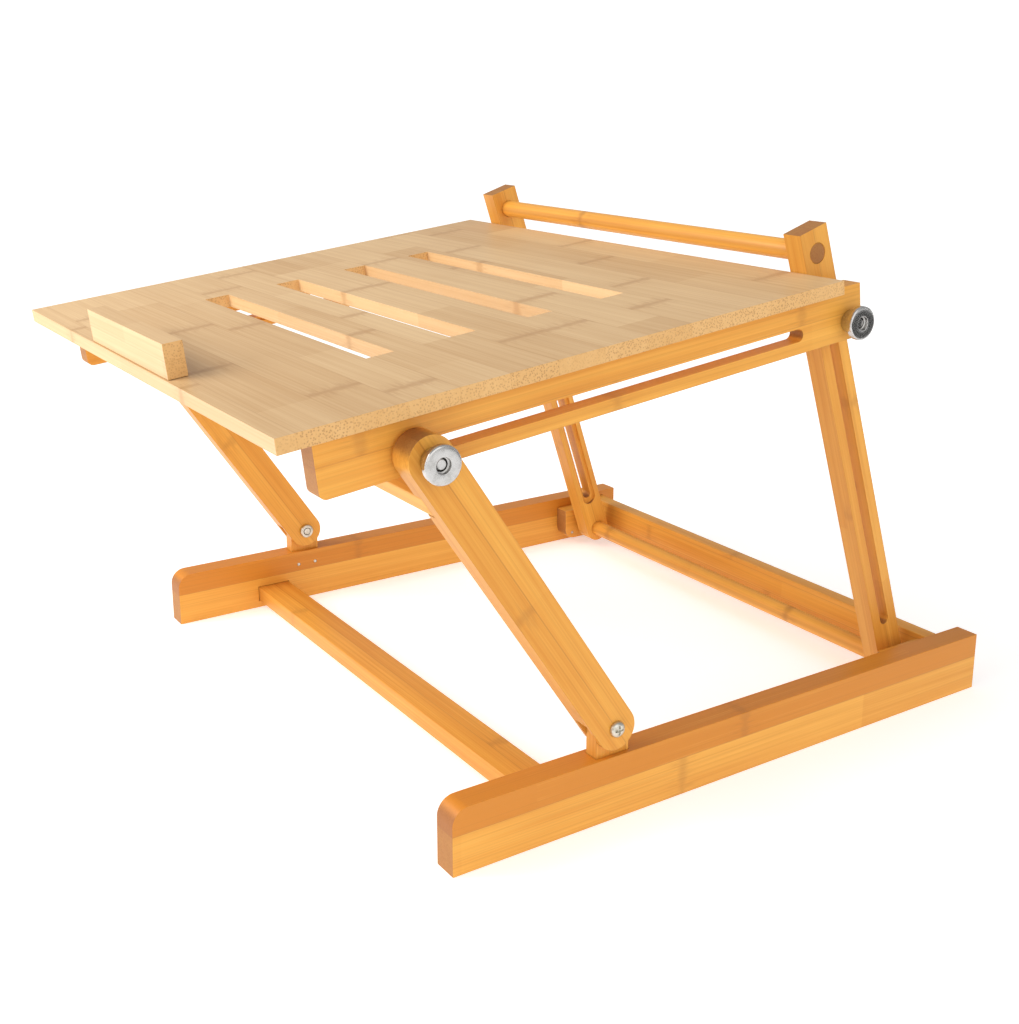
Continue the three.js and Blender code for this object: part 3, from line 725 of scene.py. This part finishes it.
def patterned(
    name: str, tree: bpy.types.NodeTree, values: dict[str, object], strength: float, depth: float
) -> tuple[bpy.types.Material, bpy.types.Node]:
    """A material whose colour, roughness and relief come from a pattern group.

    Args:
        name: of the material.
        tree: the group, which takes the place on the piece and the way the surface faces.
        values: the group's other inputs.
        strength: of the relief.
        depth: of the relief.

    Returns:
        The material and its shader.
    """
    material, sheet, shader = new_material(name)
    place = sheet.put("ShaderNodeTexCoord")
    pattern = sheet.put("ShaderNodeGroup")
    pattern.node_tree = tree
    for label, output in (("Position", "Object"), ("Facing", "Normal")):
        if label in pattern.inputs:
            sheet.feed(pattern.inputs[label], place.outputs[output])
    set_values(pattern, values)
    bump = sheet.put("ShaderNodeBump")
    set_values(bump, {"Strength": strength, "Distance": depth})
    sheet.feed(bump.inputs["Height"], pattern.outputs["Height"])
    sheet.feed(shader.inputs["Base Color"], pattern.outputs["Color"])
    sheet.feed(shader.inputs["Roughness"], pattern.outputs["Roughness"])
    sheet.feed(shader.inputs["Normal"], bump.outputs["Normal"])
    return material, shader


@dataclass(frozen=True)
class Layup:
    """How a piece is laminated: the sizes of its strips and plies, and where its knuckles come."""

    strip_width: float
    ply_thickness: float = 0.1
    strip_shift: float = 0.0
    strip_tone: float = 0.0
    knuckle_spacing: float = 0.27
    knuckle_strength: float = 0.5
    tone_spread: float = 0.35

    def values(self) -> dict[str, float]:
        """The sizes under the bamboo group's own labels."""
        return {f.name.replace("_", " ").title(): getattr(self, f.name) for f in fields(self)}


@dataclass(frozen=True)
class Bamboo:
    """Lacquered bamboo of one colour."""

    light: Rgb
    dark: Rgb
    knuckle: Rgb
    end_face: Rgb
    end_share: float
    dot_contrast: float
    coat: float
    grain_depth: float
    grain_relief: float = 0.35
    coat_roughness: float = 0.3
    refraction: float = 1.48
    specular: float = 0.35

    def material(
        self, name: str, tree: bpy.types.NodeTree, run: "Run", layup: Layup, batch: float
    ) -> bpy.types.Material:
        """The finish on one piece.

        Args:
            name: of the material.
            tree: the laminated bamboo group.
            run: the piece's directions and where they start.
            layup: its strips and knuckles.
            batch: a number that picks the piece's own canes.

        Returns:
            The material.
        """
        values = {
            "Grain": tuple(run.grain),
            "Across": tuple(run.across),
            "Start": tuple(run.start),
            "Light": (*self.light, 1.0),
            "Dark": (*self.dark, 1.0),
            "Knuckle": (*self.knuckle, 1.0),
            "End Face": (*self.end_face, 1.0),
            "End Share": self.end_share,
            "Dot Contrast": self.dot_contrast,
            "Batch": batch,
            **layup.values(),
        }
        material, shader = patterned(name, tree, values, self.grain_relief, self.grain_depth)
        shader.inputs["Coat Weight"].default_value = self.coat
        shader.inputs["Coat Roughness"].default_value = self.coat_roughness
        shader.inputs["IOR"].default_value = self.refraction
        shader.inputs["Specular IOR Level"].default_value = self.specular
        return material


@dataclass(frozen=True)
class Plating:
    """Turned metal under a thin plating."""

    bright: Rgb
    film: Rgb
    polish: float
    relief: float = 0.08
    relief_depth: float = 0.00003

    def material(
        self, name: str, tree: bpy.types.NodeTree, middle: Array, axis: Array
    ) -> bpy.types.Material:
        """The finish on one fitting.

        Args:
            name: of the material.
            tree: the turned plating group.
            middle: a point on the fitting's axis.
            axis: the axis it was turned about.

        Returns:
            The material.
        """
        values = {
            "Middle": tuple(middle),
            "Axis": tuple(axis),
            "Bright": (*self.bright, 1.0),
            "Film": (*self.film, 1.0),
            "Polish": self.polish,
        }
        material, shader = patterned(name, tree, values, self.relief, self.relief_depth)
        shader.inputs["Metallic"].default_value = 1.0
        return material


BAMBOO = {
    Wood.HONEY: Bamboo(
        light=(0.88, 0.45, 0.078),
        dark=(0.64, 0.235, 0.023),
        knuckle=(0.30, 0.105, 0.022),
        end_face=(0.24, 0.09, 0.035),
        end_share=0.72,
        dot_contrast=0.5,
        coat=0.08,
        grain_depth=0.00012,
    ),
    Wood.PALE: Bamboo(
        light=(0.76, 0.52, 0.27),
        dark=(0.58, 0.345, 0.15),
        knuckle=(0.40, 0.19, 0.065),
        end_face=(0.78, 0.43, 0.13),
        end_share=0.55,
        dot_contrast=0.62,
        coat=0.08,
        grain_depth=0.0001,
    ),
}

NICKEL = Plating(bright=(0.60, 0.59, 0.58), film=(0.45, 0.44, 0.42), polish=0.13)
ZINC = Plating(bright=(0.66, 0.64, 0.57), film=(0.42, 0.38, 0.29), polish=0.24)


@dataclass(frozen=True)
class Run:
    """A timber's own directions and where its own zero is."""

    grain: Array
    across: Array
    start: Array

    @staticmethod
    def ways(grain: Array, across: Array) -> Array:
        """The three directions along, over and through a timber, one row each."""
        return np.stack([grain, across, np.cross(grain, across)])

    @staticmethod
    def of(node: str, grain: Array, across: Array) -> "Run":
        """The run of a CAD node, started at its lowest corner in those directions."""
        corners = node_points(node) @ Run.ways(grain, across).T
        return Run(grain, across, corners.min(axis=0))

    def extent(self, node: str) -> Array:
        """A node's lengths along the run's three directions."""
        return np.ptp(node_points(node) @ self.ways(self.grain, self.across).T, axis=0)


@dataclass(frozen=True)
class Timber:
    """How a timber is cut.

    Its fibres run along grain, its strips lie side by side along across, and ease is the width of
    the sanding on its edges. With whole_faces, the triangles on one flat face are joined first.
    """

    grain: Array
    across: Array
    wood: Wood
    layup: Layup
    ease: float
    whole_faces: bool = True


# ---- the workshop ----


class Workshop:
    """Makes finished pieces from the CAD nodes and hands them to their bodies."""

    same_face: float = math.radians(0.6)
    sanded_corner: float = math.radians(40.0)
    milled_crease: float = 30.0
    bar_crease: float = 40.0
    metal_crease: float = 35.0
    rod_sides: int = 40

    def __init__(self) -> None:
        """Builds the shader groups and reads which body and slot each node has."""
        self.cane = CanePattern().group()
        self.metal = plating_group()
        record = frame["record"]
        bodies = record["behaviour"]["bodies"]
        self.body = {node: body for body, nodes in bodies.items() for node in nodes}
        self.slot = {part["node"]: part["material_slot"] for part in record["subparts"]}
        self.batch = 0

    def hand_over(self, piece: bpy.types.Object, node: str, material: bpy.types.Material) -> None:
        """Dresses a piece and lets it stand for its node.

        Args:
            piece: the finished mesh.
            node: the CAD node that it replaces.
            material: its finish.
        """
        piece.data.materials.clear()
        piece.data.materials.append(material)
        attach(piece, self.body[node])
        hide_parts(node)
        log.info("%s: %d faces on %s", piece.name, len(piece.data.polygons), self.body[node])

    def dress(self, piece: bpy.types.Object, node: str, run: Run, wood: Wood, layup: Layup) -> None:
        """Hands over a timber in bamboo that is cut from canes of its own.

        Args:
            piece: the finished mesh.
            node: the CAD node that it replaces.
            run: its directions and where they start.
            wood: which bamboo it is.
            layup: its strips and knuckles.
        """
        self.batch += 1
        name = f"{node}_bamboo"
        material = BAMBOO[wood].material(name, self.cane, run, layup, float(self.batch))
        self.hand_over(piece, node, material)

    def milled(self, node: str, cut: Timber) -> None:
        """A timber with its slots and housings, sanded along every edge.

        The solid's own mesh is copied, its doubled corners are merged, a narrow bevel goes round
        each edge, and the flat faces keep their own normals.

        Args:
            node: the CAD node.
            cut: how it is cut.
        """
        mesh = frame["nodes"][node].data.copy()
        mesh.name = f"{node}_timber"
        work = bmesh.new()
        work.from_mesh(mesh)
        bmesh.ops.remove_doubles(work, verts=work.verts, dist=SOLID_DOUBLE)
        if cut.whole_faces:
            bmesh.ops.dissolve_limit(
                work, angle_limit=self.same_face, verts=work.verts, edges=work.edges
            )
        work.to_mesh(mesh)
        work.free()
        mesh.validate()
        piece = into_scene(f"{node}_timber", mesh)
        bevel = piece.modifiers.new("sanded_edges", "BEVEL")
        bevel.width = cut.ease
        bevel.segments = 3
        bevel.limit_method = "ANGLE"
        bevel.angle_limit = self.sanded_corner
        flats = piece.modifiers.new("flat_faces", "WEIGHTED_NORMAL")
        flats.keep_sharp = True
        smooth(mesh, self.milled_crease)
        self.dress(piece, node, Run.of(node, cut.grain, cut.across), cut.wood, cut.layup)

    def bar(self, node: str, cut: Timber) -> None:
        """A plain bar, sanded along its edges, in place of a CAD box."""
        run = Run.of(node, cut.grain, cut.across)
        length, width, height = run.extent(node)
        centre = run.start + np.array([0.0, width / 2, height / 2])
        centre = centre @ Run.ways(cut.grain, cut.across)
        surface = eased_bar(length, width, height, cut.ease).placed(centre, cut.grain, cut.across)
        piece = mesh_from(f"{node}_bar", surface.outward())
        smooth(piece.data, self.bar_crease)
        self.dress(piece, node, run, cut.wood, cut.layup)

    def lathe(
        self, node: str, side: Side, outline: Array, hollow: bool, sides: int, finish: Plating
    ) -> None:
        """A turned metal fitting in place of a CAD node.

        Args:
            node: the CAD node, whose axis runs along X.
            side: which way its own first axis points.
            outline: rows of (along, radius), from the fitting's inner end.
            hollow: whether it has a hole through it.
            sides: how many points go round.
            finish: its plating.
        """
        low, high = node_box(node)
        middle = (low + high) / 2
        inner_end = low[0] if side is Side.RIGHT else high[0]
        origin = np.array([inner_end, middle[1], middle[2]])
        surface = turned(outline, sides, hollow).placed(origin, X_AXIS * side.value, Y_AXIS)
        piece = mesh_from(f"{node}_turned", surface.outward())
        smooth(piece.data, self.metal_crease)
        material = finish.material(f"{node}_plating", self.metal, origin, X_AXIS)
        self.hand_over(piece, node, material)

    def screw(
        self, node: str, rim: Array, outwards: Array, surface: Surface, finish: Plating
    ) -> None:
        """A driven screw in place of a CAD node.

        Args:
            node: the CAD node.
            rim: the middle of the head's rim.
            outwards: the way that the head faces.
            surface: the screw about its own axis.
            finish: its plating.
        """
        across = unit(np.cross(outwards, X_AXIS if abs(outwards[0]) < 0.5 else Y_AXIS))
        piece = mesh_from(f"{node}_driven", surface.placed(rim, outwards, across).outward())
        smooth(piece.data, self.metal_crease)
        self.hand_over(piece, node, finish.material(f"{node}_plating", self.metal, rim, outwards))

    def dowel(self, node: str, wood: Wood, ease: float) -> None:
        """A bamboo dowel along X with eased ends, in place of a CAD node."""
        low, high = node_box(node)
        length = high[0] - low[0]
        radius = (high[2] - low[2]) / 2
        corners = np.array([[0.0, 0.0], [0.0, radius], [length, radius], [length, 0.0]])
        outline = eased(corners, np.full(4, ease), closed=False)
        middle = (low + high) / 2
        origin = np.array([low[0], middle[1], middle[2]])
        rod = turned(outline, self.rod_sides, False).placed(origin, X_AXIS, Y_AXIS)
        piece = mesh_from(f"{node}_rod", rod.outward())
        smooth(piece.data, self.bar_crease)
        layup = Layup(strip_width=0.05, knuckle_spacing=0.21, tone_spread=0.2, knuckle_strength=0.9)
        self.dress(piece, node, Run.of(node, X_AXIS, Y_AXIS), wood, layup)


def ring_outline(length: float, radius: float, bore: float, radii: Array) -> Array:
    """The closed outline of a ring with a bore through it, with its corners rounded."""
    corners = np.array([[0.0, bore], [0.0, radius], [length, radius], [length, bore]])
    return eased(corners, radii, closed=True)


# ---- sub-assemblies ----


@dataclass
class BaseFrame:
    """The rails on the floor, their cross pieces, the pivot blocks and the arms' tongues."""

    rail_ease: float = 0.0009
    slat_ease: float = 0.0008
    block_ease: float = 0.0006
    rail: Layup = Layup(0.0225, strip_tone=0.7, knuckle_spacing=0.29, tone_spread=0.3)
    slat: Layup = Layup(0.01225, knuckle_spacing=0.31, tone_spread=0.3)
    block: Layup = Layup(0.02, knuckle_spacing=0.5, knuckle_strength=0.3)
    head: CrossHead = CrossHead(radius=0.0046, height=0.0025, arm=0.0026, depth=0.0016)
    shank_radius: float = 0.0024
    nut_bore: float = 0.0028
    nut_eases: tuple[float, ...] = (0.0003, 0.0008, 0.0002, 0.0002)
    nut_sides: int = 48
    brad_crown: float = 0.0001
    brad_point: float = 0.002
    brad_eases: tuple[float, ...] = (0.0, 0.0002, 0.0005, 0.0)
    brad_sides: int = 24

    def build(self, shop: Workshop) -> None:
        """Makes every piece of the base."""
        rail = Timber(Y_AXIS, Z_AXIS, Wood.HONEY, self.rail, self.rail_ease)
        block = Timber(Y_AXIS, Z_AXIS, Wood.HONEY, self.block, self.block_ease)
        tongue = Timber(Z_AXIS, Y_AXIS, Wood.HONEY, self.block, self.block_ease)
        for side in Side:
            shop.milled(f"base_rail_{side.word}", rail)
            shop.milled(f"leg_pivot_block_{side.word}", block)
            shop.milled(f"arm_tongue_{side.word}", tongue)
        shop.bar("front_slat", Timber(X_AXIS, Y_AXIS, Wood.HONEY, self.slat, self.slat_ease))
        shop.bar("rear_crossbar", Timber(X_AXIS, Z_AXIS, Wood.HONEY, self.slat, self.slat_ease))
        for side in Side:
            self.pivot_screw(shop, side)
            self.pivot_nut(shop, side)
            for name in ("tongue_brad_1", "tongue_brad_2", "block_brad"):
                self.brad(shop, f"{name}_{side.word}", side)

    def pivot_screw(self, shop: Workshop, side: Side) -> None:
        """The pan head screw that an arm turns on."""
        node = f"arm_pivot_screw_{side.word}"
        low, high = node_box(node)
        outer = high[0] if side is Side.RIGHT else low[0]
        rim = np.array([outer - side.value * self.head.height, *((low + high) / 2)[1:]])
        length = (high[0] - low[0]) - self.head.height
        shank = np.array([[0.0, self.shank_radius], [-length, self.shank_radius], [-length, 0.0]])
        shop.screw(node, rim, X_AXIS * side.value, self.head.screw(shank), ZINC)

    def pivot_nut(self, shop: Workshop, side: Side) -> None:
        """The round nut on the screw's inner end."""
        node = f"arm_pivot_nut_{side.word}"
        outline = ring_outline(*turned_size(node), self.nut_bore, np.array(self.nut_eases))
        shop.lathe(node, side, outline, True, self.nut_sides, ZINC)

    def brad(self, shop: Workshop, node: str, side: Side) -> None:
        """A brad driven flush, with a slightly crowned head."""
        length, radius = turned_size(node)
        shoulder = length - self.brad_point
        corners = np.array(
            [[0.0, 0.0], [self.brad_crown, radius], [shoulder, radius], [length, 0.0]]
        )
        outline = eased(corners, np.array(self.brad_eases), closed=False)
        shop.lathe(node, side, outline, False, self.brad_sides, ZINC)


@dataclass
class RearLegs:
    """The slotted legs and the two dowels that join them."""

    ease: float = 0.0007
    dowel_ease: float = 0.0006
    layup: Layup = Layup(0.01075, ply_thickness=0.00665, knuckle_spacing=0.26)

    def build(self, shop: Workshop) -> None:
        """Makes every piece of the legs."""
        across = np.cross(X_AXIS, LINES.leg)
        for side in Side:
            leg = Timber(LINES.leg, across, Wood.HONEY, self.layup, self.ease)
            shop.milled(f"rear_leg_{side.word}", leg)
        shop.dowel("top_dowel", Wood.HONEY, self.dowel_ease)
        shop.dowel("bottom_dowel", Wood.HONEY, self.dowel_ease)


@dataclass
class FrontArms:
    """The forked arms and the brace between them."""

    ease: float = 0.0008
    brace_ease: float = 0.0008
    layup: Layup = Layup(0.01225, ply_thickness=0.00775, knuckle_spacing=0.24)
    brace: Layup = Layup(0.02, knuckle_spacing=0.33)

    def build(self, shop: Workshop) -> None:
        """Makes every piece of the arms."""
        across = np.cross(X_AXIS, LINES.arm)
        for side in Side:
            arm = Timber(LINES.arm, across, Wood.HONEY, self.layup, self.ease)
            shop.milled(f"front_arm_{side.word}", arm)
        brace = Timber(X_AXIS, LINES.arm, Wood.HONEY, self.brace, self.brace_ease)
        shop.bar("arm_brace", brace)


@dataclass
class Platform:
    """The vented panel, its slotted rails and its stop bar."""

    strip_width: float = 0.028
    first_seam: float = 0.01
    panel_ease: float = 0.0008
    rail_ease: float = 0.0008
    lip_ease: float = 0.0012
    rail: Layup = Layup(0.0159, knuckle_spacing=0.28, tone_spread=0.3)
    lip: Layup = Layup(0.0097, knuckle_spacing=0.4, tone_spread=0.3)
    head: CrossHead = CrossHead(radius=0.0035, height=0.0, arm=0.0021, depth=0.0012)
    head_rim: float = 0.0004
    head_taper: float = 0.003
    screw_shank: float = 0.0017

    def build(self, shop: Workshop) -> None:
        """Makes every piece of the platform."""
        along = LINES.platform
        normal = np.cross(X_AXIS, along)
        layup = Layup(
            strip_width=self.strip_width,
            strip_shift=1.0 - self.first_seam / self.strip_width,
            knuckle_spacing=0.19,
            knuckle_strength=0.9,
            tone_spread=0.6,
        )
        shop.milled("platform_panel", Timber(X_AXIS, along, Wood.PALE, layup, self.panel_ease))
        rail = Timber(along, normal, Wood.HONEY, self.rail, self.rail_ease, whole_faces=False)
        for side in Side:
            shop.milled(f"platform_rail_{side.word}", rail)
        shop.milled("stop_lip", Timber(X_AXIS, normal, Wood.PALE, self.lip, self.lip_ease))
        for side in Side:
            self.lip_screw(shop, side, normal)

    def lip_screw(self, shop: Workshop, side: Side, normal: Array) -> None:
        """A countersunk screw up into the stop bar."""
        node = f"lip_screw_{side.word}"
        points = node_points(node)
        height = points @ normal
        length = np.ptp(height)
        middle = (points.min(axis=0) + points.max(axis=0)) / 2
        rim = middle + normal * (height.min() - middle @ normal)
        shank = np.array(
            [
                [-self.head_rim, self.head.radius],
                [-self.head_taper, self.screw_shank],
                [-(length - self.head_taper), self.screw_shank],
                [-length, 0.0],
            ]
        )
        shop.screw(node, rim, -normal, self.head.screw(shank), ZINC)


@dataclass
class Clamps:
    """The bolts, washers and knobs that hold the platform to the arms and legs."""

    head_radius: float = 0.0057
    head_height: float = 0.0022
    head_ease: float = 0.0002
    crown_rise: float = 0.0011
    crown_share: float = 0.97
    crown_rings: int = 8
    shoulder: float = 0.0016
    bolt_radius: float = 0.0029
    bolt_sides: int = 40
    thread_pitch: float = 0.001
    thread_depth: float = 0.0003
    thread_reach: float = 0.0125
    tip_ease: float = 0.0006
    hub_radius: float = 0.0066
    neck_radius: float = 0.0082
    flange: float = 0.0038
    rim_ease: float = 0.0011
    socket_radius: float = 0.004
    socket_depth: float = 0.0022
    knob_sides: int = 96
    washer_sides: int = 56
    bore: float = 0.0033
    edge: float = 0.0003

    def build(self, shop: Workshop) -> None:
        """Makes the four clamps."""
        for place in ("front", "rear"):
            for side in Side:
                self.bolt(shop, f"{place}_bolt_{side.word}", side)
                self.washer(shop, f"{place}_washer_{side.word}", side)
                self.knob(shop, f"{place}_knob_{side.word}", side)

    def bolt(self, shop: Workshop, node: str, side: Side) -> None:
        """A bolt with a low round head and a thread as far as its knob reaches."""
        length, _ = turned_size(node)
        radius, head = self.bolt_radius, self.head_radius
        dome = np.linspace(0.0, 1.0, self.crown_rings)
        crown = np.stack(
            [self.crown_rise * dome**3, head * np.sqrt(dome) * self.crown_share], axis=1
        )
        neck = np.array(
            [
                [self.shoulder, head],
                [self.head_height, head - self.head_ease],
                [self.head_height, radius],
            ]
        )
        start, stop = length - self.thread_reach, length - self.tip_ease
        thread = np.arange(start, stop, self.thread_pitch / 4)
        wave = 0.5 + 0.5 * np.cos(2 * math.pi * thread / self.thread_pitch)
        cut = np.stack([thread, radius - self.thread_depth * wave], axis=1)
        tip = np.array([[length, radius - self.tip_ease], [length, 0.0]])
        outline = np.concatenate([crown, neck, cut, tip])
        shop.lathe(node, side, outline, False, self.bolt_sides, NICKEL)

    def washer(self, shop: Workshop, node: str, side: Side) -> None:
        """A plain washer with eased edges."""
        outline = ring_outline(*turned_size(node), self.bore, np.full(4, self.edge))
        shop.lathe(node, side, outline, True, self.washer_sides, ZINC)

    def knob(self, shop: Workshop, node: str, side: Side) -> None:
        """A clamping knob: a tapered hub, a flange with a rolled rim, a flat face and a socket."""
        length, radius = turned_size(node)
        hub = length - self.flange
        socket = self.socket_radius
        floor = length - self.socket_depth
        corners = np.array(
            [
                [0.0, self.bore],
                [0.0, self.hub_radius],
                [hub, self.neck_radius],
                [hub, radius],
                [length, radius],
                [length, socket],
                [floor, socket],
                [floor, self.bore],
            ]
        )
        radii = np.full(len(corners), self.edge)
        radii[[3, 4]] = self.rim_ease
        outline = eased(corners, radii, closed=True)
        shop.lathe(node, side, outline, True, self.knob_sides, NICKEL)


# ---- floor, light and camera ----


@dataclass(frozen=True)
class Daylight:
    """A broad distant light: where it comes from, its width in degrees, its power and its tint."""

    name: str
    place: Triple
    spread: float
    power: float
    tint: Rgb

    def hang(self) -> None:
        """Puts the light in the scene, the same all over the floor."""
        data = bpy.data.lights.new(self.name, "SUN")
        data.angle = math.radians(self.spread)
        data.energy = self.power
        data.color = self.tint
        lamp = into_scene(self.name, data)
        lamp.location = self.place
        lamp.rotation_euler = (-Vector(self.place)).to_track_quat("-Z", "Y").to_euler()


@dataclass
class Studio:
    """A pale floor under soft light, and the camera."""

    eye: Triple = (0.71751, -0.46292, 0.39035)
    pitch: float = 75.29
    yaw: float = 56.69
    lens: float = 47.32
    sensor: float = 36.0
    shift: float = -0.08
    floor_reach: float = 12.0
    floor_height: float = -0.0001
    floor_colour: Rgb = (0.92, 0.92, 0.92)
    floor_glow: float = 0.42
    floor_roughness: float = 0.85
    floor_specular: float = 0.1
    mottle: Triple = (3.0, 3.0, 3.0)
    sky: float = 0.5
    backdrop: float = 1.15
    daylight: tuple[Daylight, ...] = (
        Daylight("key", (-0.3, -1.3, 0.6), 50.0, 1.2, (1.0, 0.985, 0.96)),
        Daylight("fill", (1.4, -0.3, 0.35), 80.0, 1.3, (1.0, 0.985, 0.965)),
    )
    softbox_place: Triple = (-0.35, -0.75, 0.65)
    softbox_aim: Triple = (0.0, -0.1, 0.2)
    softbox_size: float = 0.5
    softbox_power: float = 4.4
    card_x: Span = (0.7, 2.2)
    card_y: Span = (0.45, 2.4)
    card_height: float = 0.003
    card_colour: Rgb = (0.01, 0.01, 0.01)
    card_roughness: float = 0.9

    def build(self) -> None:
        """Makes the floor, the world, the lamps and the camera."""
        self.floor()
        self.world()
        for light in self.daylight:
            light.hang()
        self.softbox()
        self.card()
        self.camera()
        scene = bpy.context.scene
        scene.view_settings.view_transform = "Standard"
        scene.view_settings.look = "None"

    @staticmethod
    def sheet_of(name: str, x: Span, y: Span, height: float, steps: int) -> bpy.types.Object:
        """A flat sheet that faces up, as a grid of points at one height."""
        across, back = np.meshgrid(np.linspace(*x, steps), np.linspace(*y, steps), indexing="ij")
        points = np.stack([across.ravel(), back.ravel(), np.full(across.size, height)], axis=1)
        return mesh_from(name, Surface(points, grid_quads(steps, steps, False, False)[:, ::-1]))

    def floor(self) -> None:
        """A flat floor just under the rails, with a faint mottle."""
        span = (-self.floor_reach, self.floor_reach)
        piece = self.sheet_of("floor", span, span, self.floor_height, 9)
        material, sheet, shader = new_material("pale_floor")
        place = sheet.put("ShaderNodeTexCoord").outputs["Object"]
        mottle = sheet.noise(place, self.mottle)
        paler = tuple(min(1.0, c * 1.03) for c in self.floor_colour)
        colour = sheet.colour(mottle, (*self.floor_colour, 1.0), (*paler, 1.0))
        sheet.feed(shader.inputs["Base Color"], colour)
        shader.inputs["Roughness"].default_value = self.floor_roughness
        shader.inputs["Specular IOR Level"].default_value = self.floor_specular
        shader.inputs["Emission Color"].default_value = (1.0, 1.0, 1.0, 1.0)
        shader.inputs["Emission Strength"].default_value = self.floor_glow
        piece.data.materials.append(material)

    def world(self) -> None:
        """Even light from all round, and a white ground behind the stand."""
        world = bpy.data.worlds.new("studio")
        bpy.context.scene.world = world
        world.use_nodes = True
        sheet = Sheet(world.node_tree)
        for node in list(world.node_tree.nodes):
            world.node_tree.nodes.remove(node)
        seen = sheet.put("ShaderNodeLightPath").outputs["Is Camera Ray"]
        light = sheet.put("ShaderNodeBackground")
        light.inputs["Strength"].default_value = self.sky
        ground = sheet.put("ShaderNodeBackground")
        ground.inputs["Strength"].default_value = self.backdrop
        for node in (light, ground):
            node.inputs["Color"].default_value = (1.0, 1.0, 1.0, 1.0)
        mixed = sheet.put("ShaderNodeMixShader")
        sheet.feed(mixed.inputs[0], seen)
        sheet.feed(mixed.inputs[1], light.outputs[0])
        sheet.feed(mixed.inputs[2], ground.outputs[0])
        out = sheet.put("ShaderNodeOutputWorld")
        sheet.feed(out.inputs["Surface"], mixed.outputs[0])

    def softbox(self) -> None:
        """A square lamp near the front edge, so that the light falls off towards the back."""
        data = bpy.data.lights.new("softbox", "AREA")
        data.size = self.softbox_size
        data.energy = self.softbox_power
        lamp = into_scene("softbox", data)
        lamp.location = self.softbox_place
        aim = Vector(self.softbox_aim) - Vector(self.softbox_place)
        lamp.rotation_euler = aim.to_track_quat("-Z", "Y").to_euler()

    def card(self) -> None:
        """A dark card lying on the floor off to the side, seen only in polished metal."""
        piece = self.sheet_of("dark_card", self.card_x, self.card_y, self.card_height, 5)
        material, _, shader = new_material("dark_cloth")
        shader.inputs["Base Color"].default_value = (*self.card_colour, 1.0)
        shader.inputs["Roughness"].default_value = self.card_roughness
        piece.data.materials.append(material)
        piece.visible_camera = False
        piece.visible_diffuse = False
        piece.visible_shadow = False

    def camera(self) -> None:
        """The camera at the front right, looking slightly down."""
        data = bpy.data.cameras.new("camera")
        data.lens = self.lens
        data.sensor_width = self.sensor
        data.shift_y = self.shift
        camera = into_scene("camera", data)
        camera.location = self.eye
        camera.rotation_euler = (math.radians(self.pitch), 0.0, math.radians(self.yaw))
        bpy.context.scene.camera = camera


def main() -> None:
    """Builds the sub-assemblies in order, then the studio."""
    logging.basicConfig(level=logging.INFO, format="%(name)s %(message)s")
    shop = Workshop()
    for assembly in (BaseFrame(), RearLegs(), FrontArms(), Platform(), Clamps()):
        log.info("building %s", type(assembly).__name__)
        assembly.build(shop)
    Studio().build()


if __name__ == "__main__":
    main()
